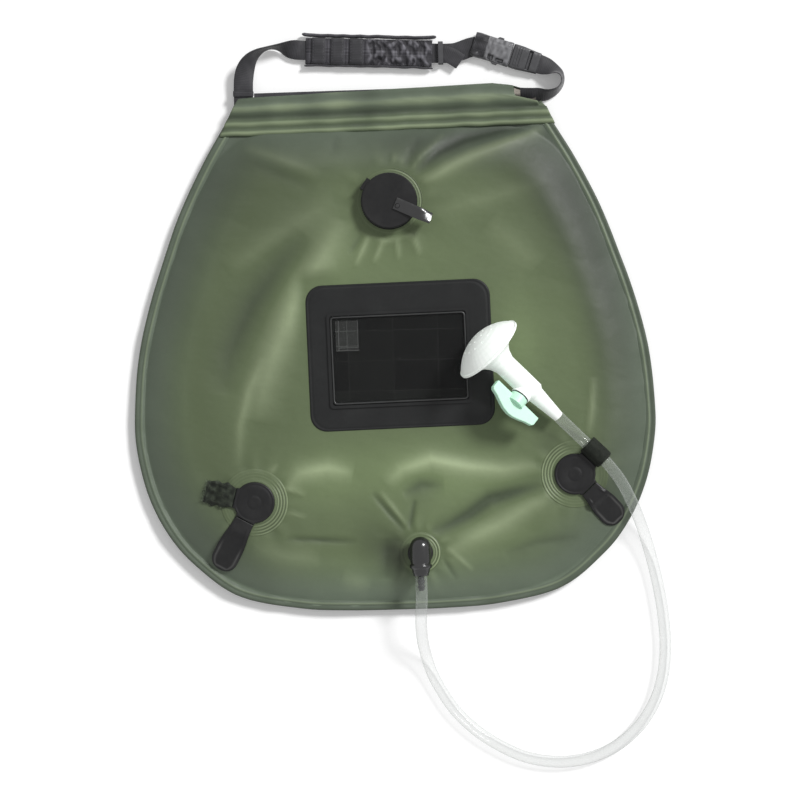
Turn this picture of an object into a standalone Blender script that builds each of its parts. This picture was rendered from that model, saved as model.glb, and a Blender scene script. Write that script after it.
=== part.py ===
"""Camp shower bag lying on its back: a coated fabric bag with a carrying strap, a fill valve,
a dark label panel, two hose ties, an outlet, a clear hose and a shower head with a tap.

Units are metres. +Z points up out of the bag's front, +Y towards the strap, and +X to the right.
The origin is on the bag's flat back, on the centre line of its outline.
"""

import math

import bmesh
import bpy
from mathutils import Matrix, Vector

# Clearances that the pieces share
GAP = 0.0003
OVERRUN = 0.004
MERGE = 0.00001

# Bag
BAG_WIDTH = 0.538
PANEL_HEIGHT = 0.5075
PANEL_TOP = 0.250
PANEL_CENTRE_DOWN = 0.260
BAG_THICKNESS = 0.030
FABRIC = 0.0008
RIM_HEIGHT = 0.0105
RIM_WIDTH = 0.009
RIM_EDGE_INSET = 0.0015
RIM_TAPE = 0.001
FLANGE_WIDTH = 0.0120
PLATEAU_INSET = 0.043
SLOPE_RINGS = 4
OUTLINE_STEPS = 3
TOP_EDGE_STEPS = 6
# Right half of the outline from the top corner to the bottom: share of half the width, share of the height
OUTLINE_SHARES = (
    (0.620, 0.000), (0.717, 0.087), (0.807, 0.183), (0.877, 0.282), (0.937, 0.379),
    (0.980, 0.477), (0.998, 0.574), (0.997, 0.655), (0.957, 0.753), (0.884, 0.834),
    (0.783, 0.899), (0.618, 0.964), (0.385, 0.992), (0.190, 0.999), (0.000, 1.000),
)

# Top hem and the webbing in it
WEBBING_WIDTH = 0.020
WEBBING_THICKNESS = 0.0016
HEM_LENGTH = 0.312
HEM_LIP = 0.0098
HEM_LIP_THICKNESS = 0.001
HEM_NECK = 0.0040
HEM_SLEEVE = 0.0240
HEM_THICKNESS = 0.0080
HEM_CORNER_CUT = 0.022
HEM_SLOT_THICKNESS = 0.004
HEM_ARC_STEPS = 6
STRAP_AXIS_SETBACK = 0.006

# Strap: route of the webbing's middle line (across, above the panel's top, height), then how far it stands on edge
STRAP_HEIGHT = 0.0108
LEFT_STRAP_PLACES = (
    (-0.1475, 0.0265, 0.0105), (-0.1474, 0.0350, 0.0106), (-0.1468, 0.0450, 0.0108), (-0.1446, 0.0550, 0.0110),
    (-0.1395, 0.0645, 0.0112), (-0.1310, 0.0722, 0.0112), (-0.1200, 0.0766, 0.0112), (-0.1085, 0.0768, 0.0110),
    (-0.1000, 0.0754, 0.0098), (-0.0925, 0.0744, 0.0072), (-0.0855, 0.0738, 0.0057), (-0.0660, 0.0728, 0.0055),
    (-0.0168, 0.0704, 0.0055), (0.0330, 0.0680, 0.0055), (0.0480, 0.0672, 0.0056), (0.0620, 0.0666, 0.0058),
    (0.0720, 0.0690, 0.0058), (0.0795, 0.0740, 0.0058), (0.0858, 0.0772, 0.0058), (0.0912, 0.0761, 0.0058),
    (0.0978, 0.0739, 0.0058),
)
LEFT_STRAP_ROUTE = tuple((x, PANEL_TOP + rise, z) for x, rise, z in LEFT_STRAP_PLACES)
LEFT_STRAP_EDGE_DEGREES = (0, 0, 8, 25, 50, 75, 88, 72, 38, 12, 0, 0, 0, 0, 0, 0, 0, 0, 0, 0, 0)
RIGHT_STRAP_PLACES = (
    (0.1566, 0.0200, 0.0105), (0.1630, 0.0200, 0.0105), (0.1700, 0.0212, 0.0110), (0.1768, 0.0244, 0.0112),
    (0.1815, 0.0300, 0.0112), (0.1828, 0.0368, 0.0108), (0.1802, 0.0425, 0.0092), (0.1742, 0.0466, 0.0068),
    (0.1672, 0.0500, 0.0058), (0.1612, 0.0520, 0.0058), (0.1555, 0.0540, 0.0058),
)
RIGHT_STRAP_ROUTE = tuple((x, PANEL_TOP + rise, z) for x, rise, z in RIGHT_STRAP_PLACES)
RIGHT_STRAP_EDGE_DEGREES = (50, 55, 60, 62, 60, 52, 30, 6, 0, 0, 0)
TAIL_PLACES = (
    (0.0540, 0.0668, 0.0079), (0.0575, 0.0668, 0.0079), (0.0620, 0.0660, 0.0079), (0.0680, 0.0635, 0.0078),
    (0.0740, 0.0598, 0.0076), (0.0780, 0.0570, 0.0074),
)
TAIL_ROUTE = tuple((x, PANEL_TOP + rise, z) for x, rise, z in TAIL_PLACES)
TAIL_WIDTH = 0.017

# Grip
GRIP_ACROSS = -0.0168
GRIP_RISE = 0.0704
GRIP_CENTRE = (GRIP_ACROSS, PANEL_TOP + GRIP_RISE)
GRIP_TURN_DEGREES = -2.8
GRIP_LENGTH = 0.131
GRIP_WIDTH = 0.034
GRIP_THICKNESS = 0.009
GRIP_HEIGHT = 0.0055
GRIP_EDGE_WIDTH = 0.0038
GRIP_EDGE_THICKNESS = 0.0065
GRIP_EDGE_OVERHANG = 0.004
GRIP_ROUNDING = 0.0022
GRIP_SLOT_CLEARANCE = 0.0006
BAND_WIDTH = 0.0135
BAND_THICKNESS = 0.0012
BAND_PITCH = 0.0195
BAND_COUNT = 3
BAND_FIRST = -0.052

# Keeper that holds the folded end of the webbing
KEEPER_ACROSS = 0.0575
KEEPER_RISE = 0.0668
KEEPER_CENTRE = (KEEPER_ACROSS, PANEL_TOP + KEEPER_RISE)
KEEPER_LENGTH = 0.005
KEEPER_WALL = 0.0016
KEEPER_OPENING = 0.0044
KEEPER_HEIGHT = 0.0069

# Side release buckle: along runs from the grip's side to the clip's side
BUCKLE_ACROSS = 0.0945
BUCKLE_RISE = 0.0750
BUCKLE_START = (BUCKLE_ACROSS, PANEL_TOP + BUCKLE_RISE)
BUCKLE_TURN_DEGREES = -19
BUCKLE_HEIGHT = 0.0058
BUCKLE_WIDTH = 0.030
BUCKLE_THICKNESS = 0.0098
BUCKLE_ROUNDING = 0.0014
SOCKET_LENGTH = 0.038
SOCKET_CAVITY_DEPTH = 0.027
SOCKET_WALL = 0.0018
WINDOW_START = 0.0145
WINDOW_LENGTH = 0.0125
WEBBING_POCKET = 0.0045
CLIP_LENGTH = 0.030
CLIP_WIDTH = 0.028
CLIP_THICKNESS = 0.0085
CLIP_SLOT_LENGTH = 0.0035
CLIP_SLOT_SETBACK = 0.009
TONGUE_LENGTH = 0.022
TONGUE_WIDTH = 0.006
PRONG_LENGTH = 0.021
PRONG_WIDTH = 0.0032
PRONG_THICKNESS = 0.0045
PRONG_SETBACK = 0.0032
PRONG_HEAD_LENGTH = 0.0095
PRONG_HEAD_BULGE = 0.0044

# Fittings: they stand on a line that leans from the outline's axis, and pivots at the fill valve
FILL_DOWN = 0.087
FILL_CENTRE = (0.0, PANEL_TOP - FILL_DOWN)
FITTINGS_LEAN_DEGREES = 3.5
OUTLET_DOWN = 0.362
TIE_DOWN = 0.2954
TIE_SPREAD_SHARE = 0.61338
TIE_SPREAD = BAG_WIDTH / 2 * TIE_SPREAD_SHARE

# Welded rings of bag fabric under the fittings
WELD_THICKNESS = 0.0008
FILL_WELD_RADIUS = 0.0345
OUTLET_WELD_RADIUS = 0.0185
TIE_WELD_RADIUS = 0.030

# Fill valve
FILL_BASE_RADIUS = 0.029
FILL_BASE_THICKNESS = 0.0020
FILL_BORE_RADIUS = 0.014
FILL_NECK_WALL = 0.003
FILL_NECK_HEIGHT = 0.0062
FILL_TAIL_WALL = 0.0015
FILL_TAIL_LENGTH = 0.0036
FILL_CAP_RADIUS = 0.0285
FILL_CAP_THICKNESS = 0.0034
FILL_CAP_ROUNDING = 0.0012
FILL_SKIRT_DEPTH = 0.0048
FILL_SKIRT_WALL = 0.0015
FILL_SKIRT_CLEARANCE = 0.0004
FILL_SKIRT_TAPER = 0.0005
GASKET_THICKNESS = 0.0008
BACKING_WIDTH = 0.010
BACKING_THICKNESS = 0.0022
FILL_AXIS_RADIUS = 0.0318
HINGE_STRIP_THICKNESS = 0.0013
HINGE_STRIP_WIDTH = 0.013
HINGE_FOOT_THICKNESS = 0.0012
CAP_EAR_THICKNESS = 0.0015
HINGE_DROP = 0.0008
TAB_DIRECTION_DEGREES = -36
TAB_START = 0.006
TAB_LENGTH = 0.046
TAB_WIDTH = 0.0150
TAB_THICKNESS = 0.0016
TAB_CURL_RISE = 0.0075
TAB_CURL_LENGTH = 0.009
STUD_RADIUS = 0.0028
STUD_HEIGHT = 0.0014
STUD_SETBACK = 0.0042

# Label panel
LABEL_ACROSS = 0.007
LABEL_DOWN = 0.245
LABEL_CENTRE = (LABEL_ACROSS, PANEL_TOP - LABEL_DOWN)
LABEL_TURN_DEGREES = 1
LABEL_WIDTH = 0.1895
LABEL_DEPTH = 0.150
LABEL_CORNER = 0.017
LABEL_THICKNESS = 0.001
FRAME_WIDTH = 0.146
FRAME_DEPTH = 0.098
FRAME_BAR = 0.003
FRAME_THICKNESS = 0.0014
FRAME_CORNER = 0.004
FRAME_OFFSET = (-0.001, -0.003)
STRIP_WIDTH = 0.0235
STRIP_DEPTH = 0.031
STRIP_THICKNESS = 0.0006
STRIP_INSET = (0.0055, 0.0055)
WINDOW_THICKNESS = 0.0005
WINDOW_CLEARANCE = 0.0004

# Outlet
OUTLET_BOSS_RADIUS = 0.013
OUTLET_SPOUT_HEIGHT = 0.0430
OUTLET_SPOUT_RADIUS = 0.0095
OUTLET_SPOUT_REACH = 0.0175
OUTLET_TAIL_RADIUS = 0.008
OUTLET_BORE_RADIUS = 0.004
COLLAR_RADIUS = 0.0118
COLLAR_THICKNESS = 0.0046
COLLAR_ROUNDING = 0.0008

# Hose ties
DISC_RADIUS = 0.021
DISC_THICKNESS = 0.0025
DISC_ROUNDING = 0.0007
TIE_AXIS_LIFT = 0.0003
TIE_THICKNESS = 0.0020
LONG_TIE_WIDTH = 0.0275
SHORT_TIE_WIDTH = 0.0255
LEFT_LONG_LENGTH = 0.079
RIGHT_LONG_LENGTH = 0.069
LEFT_SHORT_LENGTH = 0.053
LEFT_LONG_DEGREES = 240.5
RIGHT_LONG_DEGREES = -47.5
LEFT_SHORT_DEGREES = 165
RIGHT_SHORT_DEGREES = 45
LONG_TIE_FLAT = 0.001
TIE_STEP = 0.006
TIE_LIFT = 0.0004
SHORT_TIE_CORNER = 0.005
LOOP_THICKNESS = 0.0016
LOOP_REACH = 0.0306
LOOP_CLEARANCE = 0.0007
LOOP_LENGTH = 0.052
LOOP_NEAR_FOOT = 0.0077
LOOP_NEAR_SHOULDER = 0.0062
LOOP_CROWN = 0.0028
LOOP_FAR_SHOULDER = 0.0072
LOOP_FAR_FOOT = 0.0125
# Hose
HOSE_DIAMETER = 0.012
HOSE_STEP = 0.022
HOSE_LEVEL = 0.0062
HOSE_ROUTE = (
    (0.0221, -0.2440, 0.0430), (0.0212, -0.2590, 0.0414), (0.0208, -0.2740, 0.0361), (0.0222, -0.2910, 0.0245),
    (0.0258, -0.3080, 0.0131), (0.0305, -0.3230, 0.0078), (0.0385, -0.3400, 0.0062), (0.0540, -0.3640, 0.0062),
    (0.0750, -0.3850, 0.0062), (0.0990, -0.4015, 0.0062), (0.1270, -0.4145, 0.0062), (0.1590, -0.4200, 0.0062),
    (0.1900, -0.4170, 0.0062), (0.2180, -0.4060, 0.0062), (0.2420, -0.3870, 0.0062), (0.2590, -0.3630, 0.0062),
    (0.2690, -0.3360, 0.0062), (0.2730, -0.3060, 0.0062), (0.2720, -0.2750, 0.0062), (0.2680, -0.2440, 0.0062),
    (0.2615, -0.2130, 0.0072), (0.2530, -0.1830, 0.0130), (0.2425, -0.1560, 0.0235), (0.2300, -0.1310, 0.0335),
    (0.2157, -0.1115, 0.0370), (0.2043, -0.1001, 0.0370), (0.1924, -0.0882, 0.0370), (0.1811, -0.0769, 0.0388),
)

# Shower head: profiles run from the spray face towards the hose
HEAD_ACROSS = 0.0955
HEAD_DOWN = 0.2413
HEAD_RIM_CENTRE = (HEAD_ACROSS, PANEL_TOP - HEAD_DOWN)
HEAD_DIRECTION_DEGREES = -45
HEAD_TILT_DEGREES = 14.3
ROSE_RADIUS = 0.0385
ROSE_LENGTH = 0.030
ROSE_WALL = 0.0016
ROSE_NECK_RADIUS = 0.0114
ROSE_BELL_SHARES = ((1.0, 0.0), (1.0, 0.075), (0.70, 0.17), (0.46, 0.25), (0.25, 0.38), (0.10, 0.57), (0.0, 0.82), (0.0, 1.0))
SPRAY_RISE = 0.017
SPRAY_THICKNESS = 0.0015
SPRAY_RADIUS = 0.0375
SPRAY_ARC_STEPS = 7
SPRAY_HOLE_RADIUS = 0.0011
SPRAY_RING_PITCH = 0.0095
SPRAY_RINGS = 3
HOLES_PER_RING = 6
TAP_BODY_RADIUS = 0.0114
TAP_BODY_LENGTH = 0.040
TAP_SPOUT_LENGTH = 0.0335
TAP_SPOUT_SHOULDER = 0.0090
TAP_SPOUT_TIP = 0.0056
TAP_BORE_RADIUS = 0.0036
TAP_AXIS_ALONG = 0.058
TAP_ROLL_DEGREES = -20
TAP_BOSS_RADIUS = 0.0102
TAP_BOSS_REACH = 0.0128
PLUG_RADIUS = 0.0066
PLUG_CLEARANCE = 0.0003
PLUG_DEPTH = 0.0088
WASHER_THICKNESS = 0.0008
WASHER_RADIUS = 0.0096
HANDLE_STEM_RADIUS = 0.0095
HANDLE_STEM_LENGTH = 0.0035
HANDLE_LENGTH = 0.0585
HANDLE_END_WIDTH = 0.0110
HANDLE_MIDDLE_WIDTH = 0.0190
HANDLE_THICKNESS = 0.0065
HANDLE_ROUNDING = 0.0015

ROUND_STEPS = 40
SMALL_STEPS = 24

OLIVE = (0.150, 0.195, 0.085)
PALE_OLIVE = (0.235, 0.290, 0.150)
WEB_BLACK = (0.030, 0.030, 0.034)
RUBBER_BLACK = (0.024, 0.024, 0.026)
LABEL_BLACK = (0.028, 0.029, 0.031)
BUCKLE_BLACK = (0.035, 0.035, 0.038)
HEAD_WHITE = (0.860, 0.930, 0.880)
TAP_GREEN = (0.560, 0.830, 0.650)
CLEAR = (0.900, 0.920, 0.920)

MODEL = bpy.data.collections.new("camp_shower_bag")
CUTTERS = bpy.data.collections.new("cutters")
WORLD_OF = {}


def clear_scene():
    for item in list(bpy.data.objects):
        bpy.data.objects.remove(item, do_unlink=True)
    bpy.context.scene.collection.children.link(MODEL)
    bpy.context.scene.collection.children.link(CUTTERS)


def make_material(name, color, roughness, metallic=0.0):
    """A Principled material of one colour."""
    material = bpy.data.materials.new(name)
    material.use_nodes = True
    shader = material.node_tree.nodes["Principled BSDF"]
    shader.inputs["Base Color"].default_value = (*color, 1.0)
    shader.inputs["Roughness"].default_value = roughness
    shader.inputs["Metallic"].default_value = metallic
    return material


def turn(degrees, axis):
    return Matrix.Rotation(math.radians(degrees), 4, axis)


def shift(x, y, z):
    return Matrix.Translation((x, y, z))


def add_axis(name, world):
    """An empty that carries a group of pieces, on a joint's axis where the group moves."""
    empty = bpy.data.objects.new(name, None)
    MODEL.objects.link(empty)
    empty.matrix_basis = world
    WORLD_OF[name] = world
    return empty


def place(obj, world, parent=None):
    """Gives an object its world placing, through its parent where it has one."""
    if parent is None:
        obj.matrix_basis = world
    else:
        obj.parent = parent
        obj.matrix_basis = WORLD_OF[parent.name].inverted() @ world


def add_piece(name, mesh, material, world, parent=None, smooth_degrees=35):
    """Puts a mesh into the model as a named piece."""
    obj = bpy.data.objects.new(name, mesh)
    MODEL.objects.link(obj)
    mesh.materials.clear()
    mesh.materials.append(material)
    mesh.shade_smooth()
    mesh.set_sharp_from_angle(angle=math.radians(smooth_degrees))
    place(obj, world, parent)
    return obj


def add_cutter(name, mesh, world, parent=None):
    obj = bpy.data.objects.new(name, mesh)
    CUTTERS.objects.link(obj)
    obj.hide_render = True
    obj.display_type = "WIRE"
    place(obj, world, parent)
    return obj


def combine(obj, cutter, operation):
    modifier = obj.modifiers.new(cutter.name, "BOOLEAN")
    modifier.operation = operation
    modifier.solver = "EXACT"
    modifier.object = cutter


def round_edges(obj, width, segments=2, angle=40):
    modifier = obj.modifiers.new("rounding", "BEVEL")
    modifier.width = width
    modifier.segments = segments
    modifier.limit_method = "ANGLE"
    modifier.angle_limit = math.radians(angle)
    return modifier


def box_mesh(name, x, y, z):
    """A box whose three ranges are given as (low, high)."""
    mesh = bpy.data.meshes.new(name)
    box = bmesh.new()
    bmesh.ops.create_cube(box, size=1.0)
    for vert in box.verts:
        for index, (low, high) in enumerate((x, y, z)):
            vert.co[index] = high if vert.co[index] > 0 else low
    box.to_mesh(mesh)
    box.free()
    return mesh


def cylinder_mesh(name, radius, low, high, steps=SMALL_STEPS):
    """A cylinder about Z from low to high."""
    mesh = bpy.data.meshes.new(name)
    cylinder = bmesh.new()
    bmesh.ops.create_cone(cylinder, cap_ends=True, segments=steps, radius1=radius, radius2=radius,
                          depth=high - low, matrix=shift(0, 0, (high + low) / 2))
    cylinder.to_mesh(mesh)
    cylinder.free()
    return mesh


def sphere_mesh(name, radius, centre_z, steps=SMALL_STEPS):
    mesh = bpy.data.meshes.new(name)
    sphere = bmesh.new()
    bmesh.ops.create_uvsphere(sphere, u_segments=steps, v_segments=steps // 2, radius=radius,
                              matrix=shift(0, 0, centre_z))
    sphere.to_mesh(mesh)
    sphere.free()
    return mesh


def joined_mesh(name, meshes, matrices):
    """Several separate solids in one mesh."""
    merged = bmesh.new()
    for mesh, matrix in zip(meshes, matrices):
        start = len(merged.verts)
        merged.from_mesh(mesh)
        merged.verts.ensure_lookup_table()
        bmesh.ops.transform(merged, matrix=matrix, verts=merged.verts[start:])
    result = bpy.data.meshes.new(name)
    merged.to_mesh(result)
    merged.free()
    return result


def baked(name, obj):
    """The evaluated mesh of a helper object, which is then removed."""
    graph = bpy.context.evaluated_depsgraph_get()
    mesh = bpy.data.meshes.new_from_object(obj.evaluated_get(graph))
    welded = bmesh.new()
    welded.from_mesh(mesh)
    bmesh.ops.remove_doubles(welded, verts=welded.verts, dist=MERGE)
    bmesh.ops.recalc_face_normals(welded, faces=welded.faces)
    result = bpy.data.meshes.new(name)
    welded.to_mesh(result)
    welded.free()
    bpy.data.objects.remove(obj, do_unlink=True)
    return result


def turned_mesh(name, profile, steps=ROUND_STEPS):
    """Turns a closed profile of (radius, height) points about Z with a Screw modifier."""
    mesh = bpy.data.meshes.new(name + "_profile")
    count = len(profile)
    edges = [(index, (index + 1) % count) for index in range(count)]
    if profile[0][0] == 0 and profile[-1][0] == 0:
        edges.pop()
    mesh.from_pydata([(radius, 0, height) for radius, height in profile], edges, [])
    obj = bpy.data.objects.new(name, mesh)
    MODEL.objects.link(obj)
    screw = obj.modifiers.new("turn", "SCREW")
    screw.steps = screw.render_steps = steps
    screw.use_merge_vertices = True
    screw.merge_threshold = MERGE
    return baked(name, obj)


def ring_mesh(name, outer, inner, low, high, steps=ROUND_STEPS):
    """A flat ring about Z."""
    return turned_mesh(name, [(outer, high), (outer, low), (inner, low), (inner, high)], steps)


def plate_mesh(name, outlines, low, high):
    """A flat outline, with any holes after it, as a filled 2D curve from low to high."""
    curve = bpy.data.curves.new(name, "CURVE")
    curve.dimensions = "2D"
    curve.fill_mode = "BOTH"
    curve.extrude = (high - low) / 2
    for outline in outlines:
        spline = curve.splines.new("POLY")
        spline.points.add(len(outline) - 1)
        for point, (x, y) in zip(spline.points, outline):
            point.co = (x, y, 0, 1)
        spline.use_cyclic_u = True
    obj = bpy.data.objects.new(name, curve)
    MODEL.objects.link(obj)
    mesh = baked(name, obj)
    mesh.transform(shift(0, 0, (high + low) / 2))
    return mesh


def rounded_rectangle(width, depth, corner, steps=5):
    """Outline of a rectangle with round corners, about the origin."""
    points = []
    for quarter, (side, end) in enumerate(((1, 1), (-1, 1), (-1, -1), (1, -1))):
        for step in range(steps + 1):
            angle = math.pi / 2 * (quarter + step / steps)
            points.append((side * (width / 2 - corner) + corner * math.cos(angle),
                           end * (depth / 2 - corner) + corner * math.sin(angle)))
    return points


def smooth_points(route, step):
    """Points about one step apart on a smooth curve through the route's own points."""
    points = [Vector(point) for point in route]
    before = points[0] * 2 - points[1]
    after = points[-1] * 2 - points[-2]
    ends = [before, *points, after]
    fine = []
    pieces = 16
    for a, b, c, d in zip(ends, ends[1:], ends[2:], ends[3:]):
        for index in range(pieces):
            t = index / pieces
            fine.append(0.5 * (2 * b + (c - a) * t + (2 * a - 5 * b + 4 * c - d) * t * t
                               + (3 * b - a - 3 * c + d) * t * t * t))
    fine.append(points[-1])
    lengths = [0.0]
    for a, b in zip(fine, fine[1:]):
        lengths.append(lengths[-1] + (b - a).length)
    count = max(2, round(lengths[-1] / step))
    result = []
    place_now = 0
    for index in range(count + 1):
        target = lengths[-1] * index / count
        while place_now < len(lengths) - 2 and lengths[place_now + 1] < target:
            place_now += 1
        span = lengths[place_now + 1] - lengths[place_now]
        share = (target - lengths[place_now]) / span
        result.append(fine[place_now].lerp(fine[place_now + 1], min(share, 1.0)))
    return result


def webbing_mesh(name, route, edge_degrees, width, thickness, pieces=2):
    """A flat strip along a route. Its section is a stadium, and a tilt stands it on edge."""
    count = (len(route) - 1) * pieces + 1
    route_curve = [Vector(point) for point in route]
    ends = [route_curve[0] * 2 - route_curve[1], *route_curve, route_curve[-1] * 2 - route_curve[-2]]
    points, tilts = [], []
    for index in range(count):
        segment = min(index // pieces, len(route) - 2)
        t = index / pieces - segment
        a, b, c, d = ends[segment:segment + 4]
        points.append(0.5 * (2 * b + (c - a) * t + (2 * a - 5 * b + 4 * c - d) * t * t
                             + (3 * b - a - 3 * c + d) * t * t * t))
        low, high = edge_degrees[segment], edge_degrees[segment + 1]
        tilts.append(math.radians(90 - (low + (high - low) * t)))
    curve = bpy.data.curves.new(name, "CURVE")
    curve.dimensions = "3D"
    curve.twist_mode = "Z_UP"
    curve.bevel_depth = thickness / 2
    curve.bevel_resolution = 1
    curve.extrude = (width - thickness) / 2
    curve.use_fill_caps = True
    spline = curve.splines.new("POLY")
    spline.points.add(len(points) - 1)
    for point, co, tilt in zip(spline.points, points, tilts):
        point.co = (*co, 1)
        point.tilt = tilt
    obj = bpy.data.objects.new(name, curve)
    MODEL.objects.link(obj)
    return baked(name, obj)


# Outline of the bag and heights of its surfaces

def bag_outline():
    """Closed outline of the bag's rim, anticlockwise from the top right corner."""
    half = BAG_WIDTH / 2
    right = [Vector((across * half, PANEL_TOP - down * PANEL_HEIGHT)) for across, down in OUTLINE_SHARES]
    side = []
    ends = [right[0] * 2 - right[1], *right, Vector((-right[-2].x, right[-2].y))]
    for a, b, c, d in zip(ends, ends[1:], ends[2:], ends[3:]):
        for index in range(OUTLINE_STEPS):
            t = index / OUTLINE_STEPS
            side.append(0.5 * (2 * b + (c - a) * t + (2 * a - 5 * b + 4 * c - d) * t * t
                               + (3 * b - a - 3 * c + d) * t * t * t))
    bottom = right[-1]
    right_side = side
    left_side = [Vector((-point.x, point.y)) for point in side]
    top = [left_side[0].lerp(right_side[0], step / TOP_EDGE_STEPS) for step in range(1, TOP_EDGE_STEPS)]
    clockwise = [*right_side, bottom, *reversed(left_side), *top]
    return list(reversed(clockwise))


OUTLINE = bag_outline()
CENTRE = Vector((0, PANEL_TOP - PANEL_CENTRE_DOWN))


def inset_share(distance):
    """The scale about the bag's centre that draws its outline in by a distance."""
    return 1 - distance / (BAG_WIDTH / 2)


def outline_at(share):
    return [CENTRE + (point - CENTRE) * share for point in OUTLINE]


def share_at(point):
    """How far out a point lies from the centre, as a share of the outline in that direction."""
    ray = point - CENTRE
    for a, b in zip(OUTLINE, OUTLINE[1:] + OUTLINE[:1]):
        a, b = a - CENTRE, b - CENTRE
        edge = b - a
        across = ray.x * edge.y - ray.y * edge.x
        if abs(across) < MERGE * MERGE:
            continue
        scale = (a.x * edge.y - a.y * edge.x) / across
        along = (a.x * ray.y - a.y * ray.x) / -across if across else 0
        if scale > 0 and -MERGE <= along <= 1 + MERGE:
            return 1 / scale
    return 1.0


PANEL_SHARE = inset_share(RIM_EDGE_INSET)
FLANGE_SHARE = inset_share(FLANGE_WIDTH)
PLATEAU_SHARE = inset_share(PLATEAU_INSET)
BINDING_SHARE = inset_share(RIM_WIDTH)
FRONT_RIM = RIM_HEIGHT + GAP / 2 + FABRIC
BACK_RIM = RIM_HEIGHT - GAP / 2 - FABRIC
CHANNEL_HALF = GAP / 2 + FABRIC + GAP
BINDING_HALF = CHANNEL_HALF + RIM_TAPE
PLATEAU = BAG_THICKNESS


def slope_shares():
    """Scale of each ring between the flat rim and the plateau, with its rise from 0 to 1."""
    rings = []
    for step in range(SLOPE_RINGS + 1):
        part = step / SLOPE_RINGS
        rings.append((FLANGE_SHARE + (PLATEAU_SHARE - FLANGE_SHARE) * part, math.sin(math.pi / 2 * part)))
    return rings


def front_height(point):
    """Height of the bag's front, its rim binding included, under a point."""
    share = share_at(point)
    if share > BINDING_SHARE - GAP:
        return RIM_HEIGHT + BINDING_HALF
    rings = slope_shares()
    if share >= rings[0][0]:
        return FRONT_RIM
    for (outer, low), (inner, high) in zip(rings, rings[1:]):
        if share >= inner:
            rise = low + (high - low) * (outer - share) / (outer - inner)
            return FRONT_RIM + (PLATEAU - FRONT_RIM) * rise
    return PLATEAU


def panel_mesh(name, rim, middle):
    """A puffed sheet: rings drawn in from the outline, from the rim's height to the middle's."""
    rings = [(PANEL_SHARE, 0.0)] + slope_shares()
    sheet = bmesh.new()
    rows = []
    for share, rise in rings:
        height = rim + (middle - rim) * rise
        rows.append([sheet.verts.new((*point, height)) for point in outline_at(share)])
    for outer, inner in zip(rows, rows[1:]):
        for index in range(len(outer)):
            following = (index + 1) % len(outer)
            sheet.faces.new((outer[index], outer[following], inner[following], inner[index]))
    sheet.faces.new(rows[-1])
    sheet.normal_update()
    mesh = bpy.data.meshes.new(name)
    sheet.to_mesh(mesh)
    sheet.free()
    return mesh


def add_panel(name, rim, middle, inward, material):
    """One face of the bag, its fabric thickness towards the water."""
    panel = add_piece(name, panel_mesh(name, rim, middle), material, Matrix())
    solidify = panel.modifiers.new("fabric", "SOLIDIFY")
    solidify.thickness = FABRIC
    solidify.offset = inward
    return panel


def layout(x, y):
    """World placing of a fitting from its place on the fittings' own leaning axes."""
    return shift(*FILL_CENTRE, 0) @ turn(FITTINGS_LEAN_DEGREES, "Z") @ shift(x, y, 0)


FILL_AT = shift(*FILL_CENTRE, 0)
OUTLET_POINT = layout(0, -OUTLET_DOWN).translation
OUTLET_AT = shift(OUTLET_POINT.x, OUTLET_POINT.y, 0)
LEFT_TIE_POINT = layout(-TIE_SPREAD, -TIE_DOWN).translation
RIGHT_TIE_POINT = layout(TIE_SPREAD, -TIE_DOWN).translation

WELD_LOW = PLATEAU + GAP
WELD_HIGH = WELD_LOW + WELD_THICKNESS
FITTING_LOW = WELD_HIGH + GAP


def build_bag(olive, pale):
    front = add_panel("front_panel", FRONT_RIM, PLATEAU, -1, olive)
    add_panel("back_panel", BACK_RIM, 0, 1, olive)
    fill_hole = FILL_BORE_RADIUS + FILL_TAIL_WALL + GAP
    outlet_hole = OUTLET_TAIL_RADIUS + GAP
    for name, radius, world in (("fill_hole", fill_hole, FILL_AT), ("outlet_hole", outlet_hole, OUTLET_AT)):
        mesh = cylinder_mesh(name, radius, PLATEAU - OVERRUN, PLATEAU + OVERRUN, ROUND_STEPS)
        combine(front, add_cutter(name, mesh, world), "DIFFERENCE")

    lip_end = PANEL_EDGE_TOP - HEM_LIP
    ring = plate_mesh("rim_binding", [outline_at(1.0), outline_at(BINDING_SHARE)],
                      RIM_HEIGHT - BINDING_HALF, RIM_HEIGHT + BINDING_HALF)
    binding = add_piece("rim_binding", ring, pale, Matrix())
    channel_outer = outline_at(inset_share(RIM_EDGE_INSET - GAP))
    channel_inner = outline_at(inset_share(RIM_WIDTH + OVERRUN))
    channel = plate_mesh("rim_channel", [channel_outer, channel_inner],
                         RIM_HEIGHT - CHANNEL_HALF, RIM_HEIGHT + CHANNEL_HALF)
    combine(binding, add_cutter("rim_channel", channel, Matrix()), "DIFFERENCE")
    half = BAG_WIDTH / 2
    top = box_mesh("rim_top_cut", (-half, half), (lip_end - GAP, PANEL_TOP + OVERRUN),
                   (0, BAG_THICKNESS))
    combine(binding, add_cutter("rim_top_cut", top, Matrix()), "DIFFERENCE")


PANEL_EDGE_TOP = CENTRE.y + (PANEL_TOP - CENTRE.y) * PANEL_SHARE
HEM_LIP_TOP = PANEL_EDGE_TOP + GAP
HEM_SLEEVE_START = HEM_LIP_TOP + HEM_NECK
HEM_TOP = HEM_SLEEVE_START + HEM_SLEEVE
HEM_MIDDLE = (HEM_SLEEVE_START + HEM_TOP) / 2
HEM_SLOT_WIDTH = WEBBING_WIDTH + GAP * 3


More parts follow.
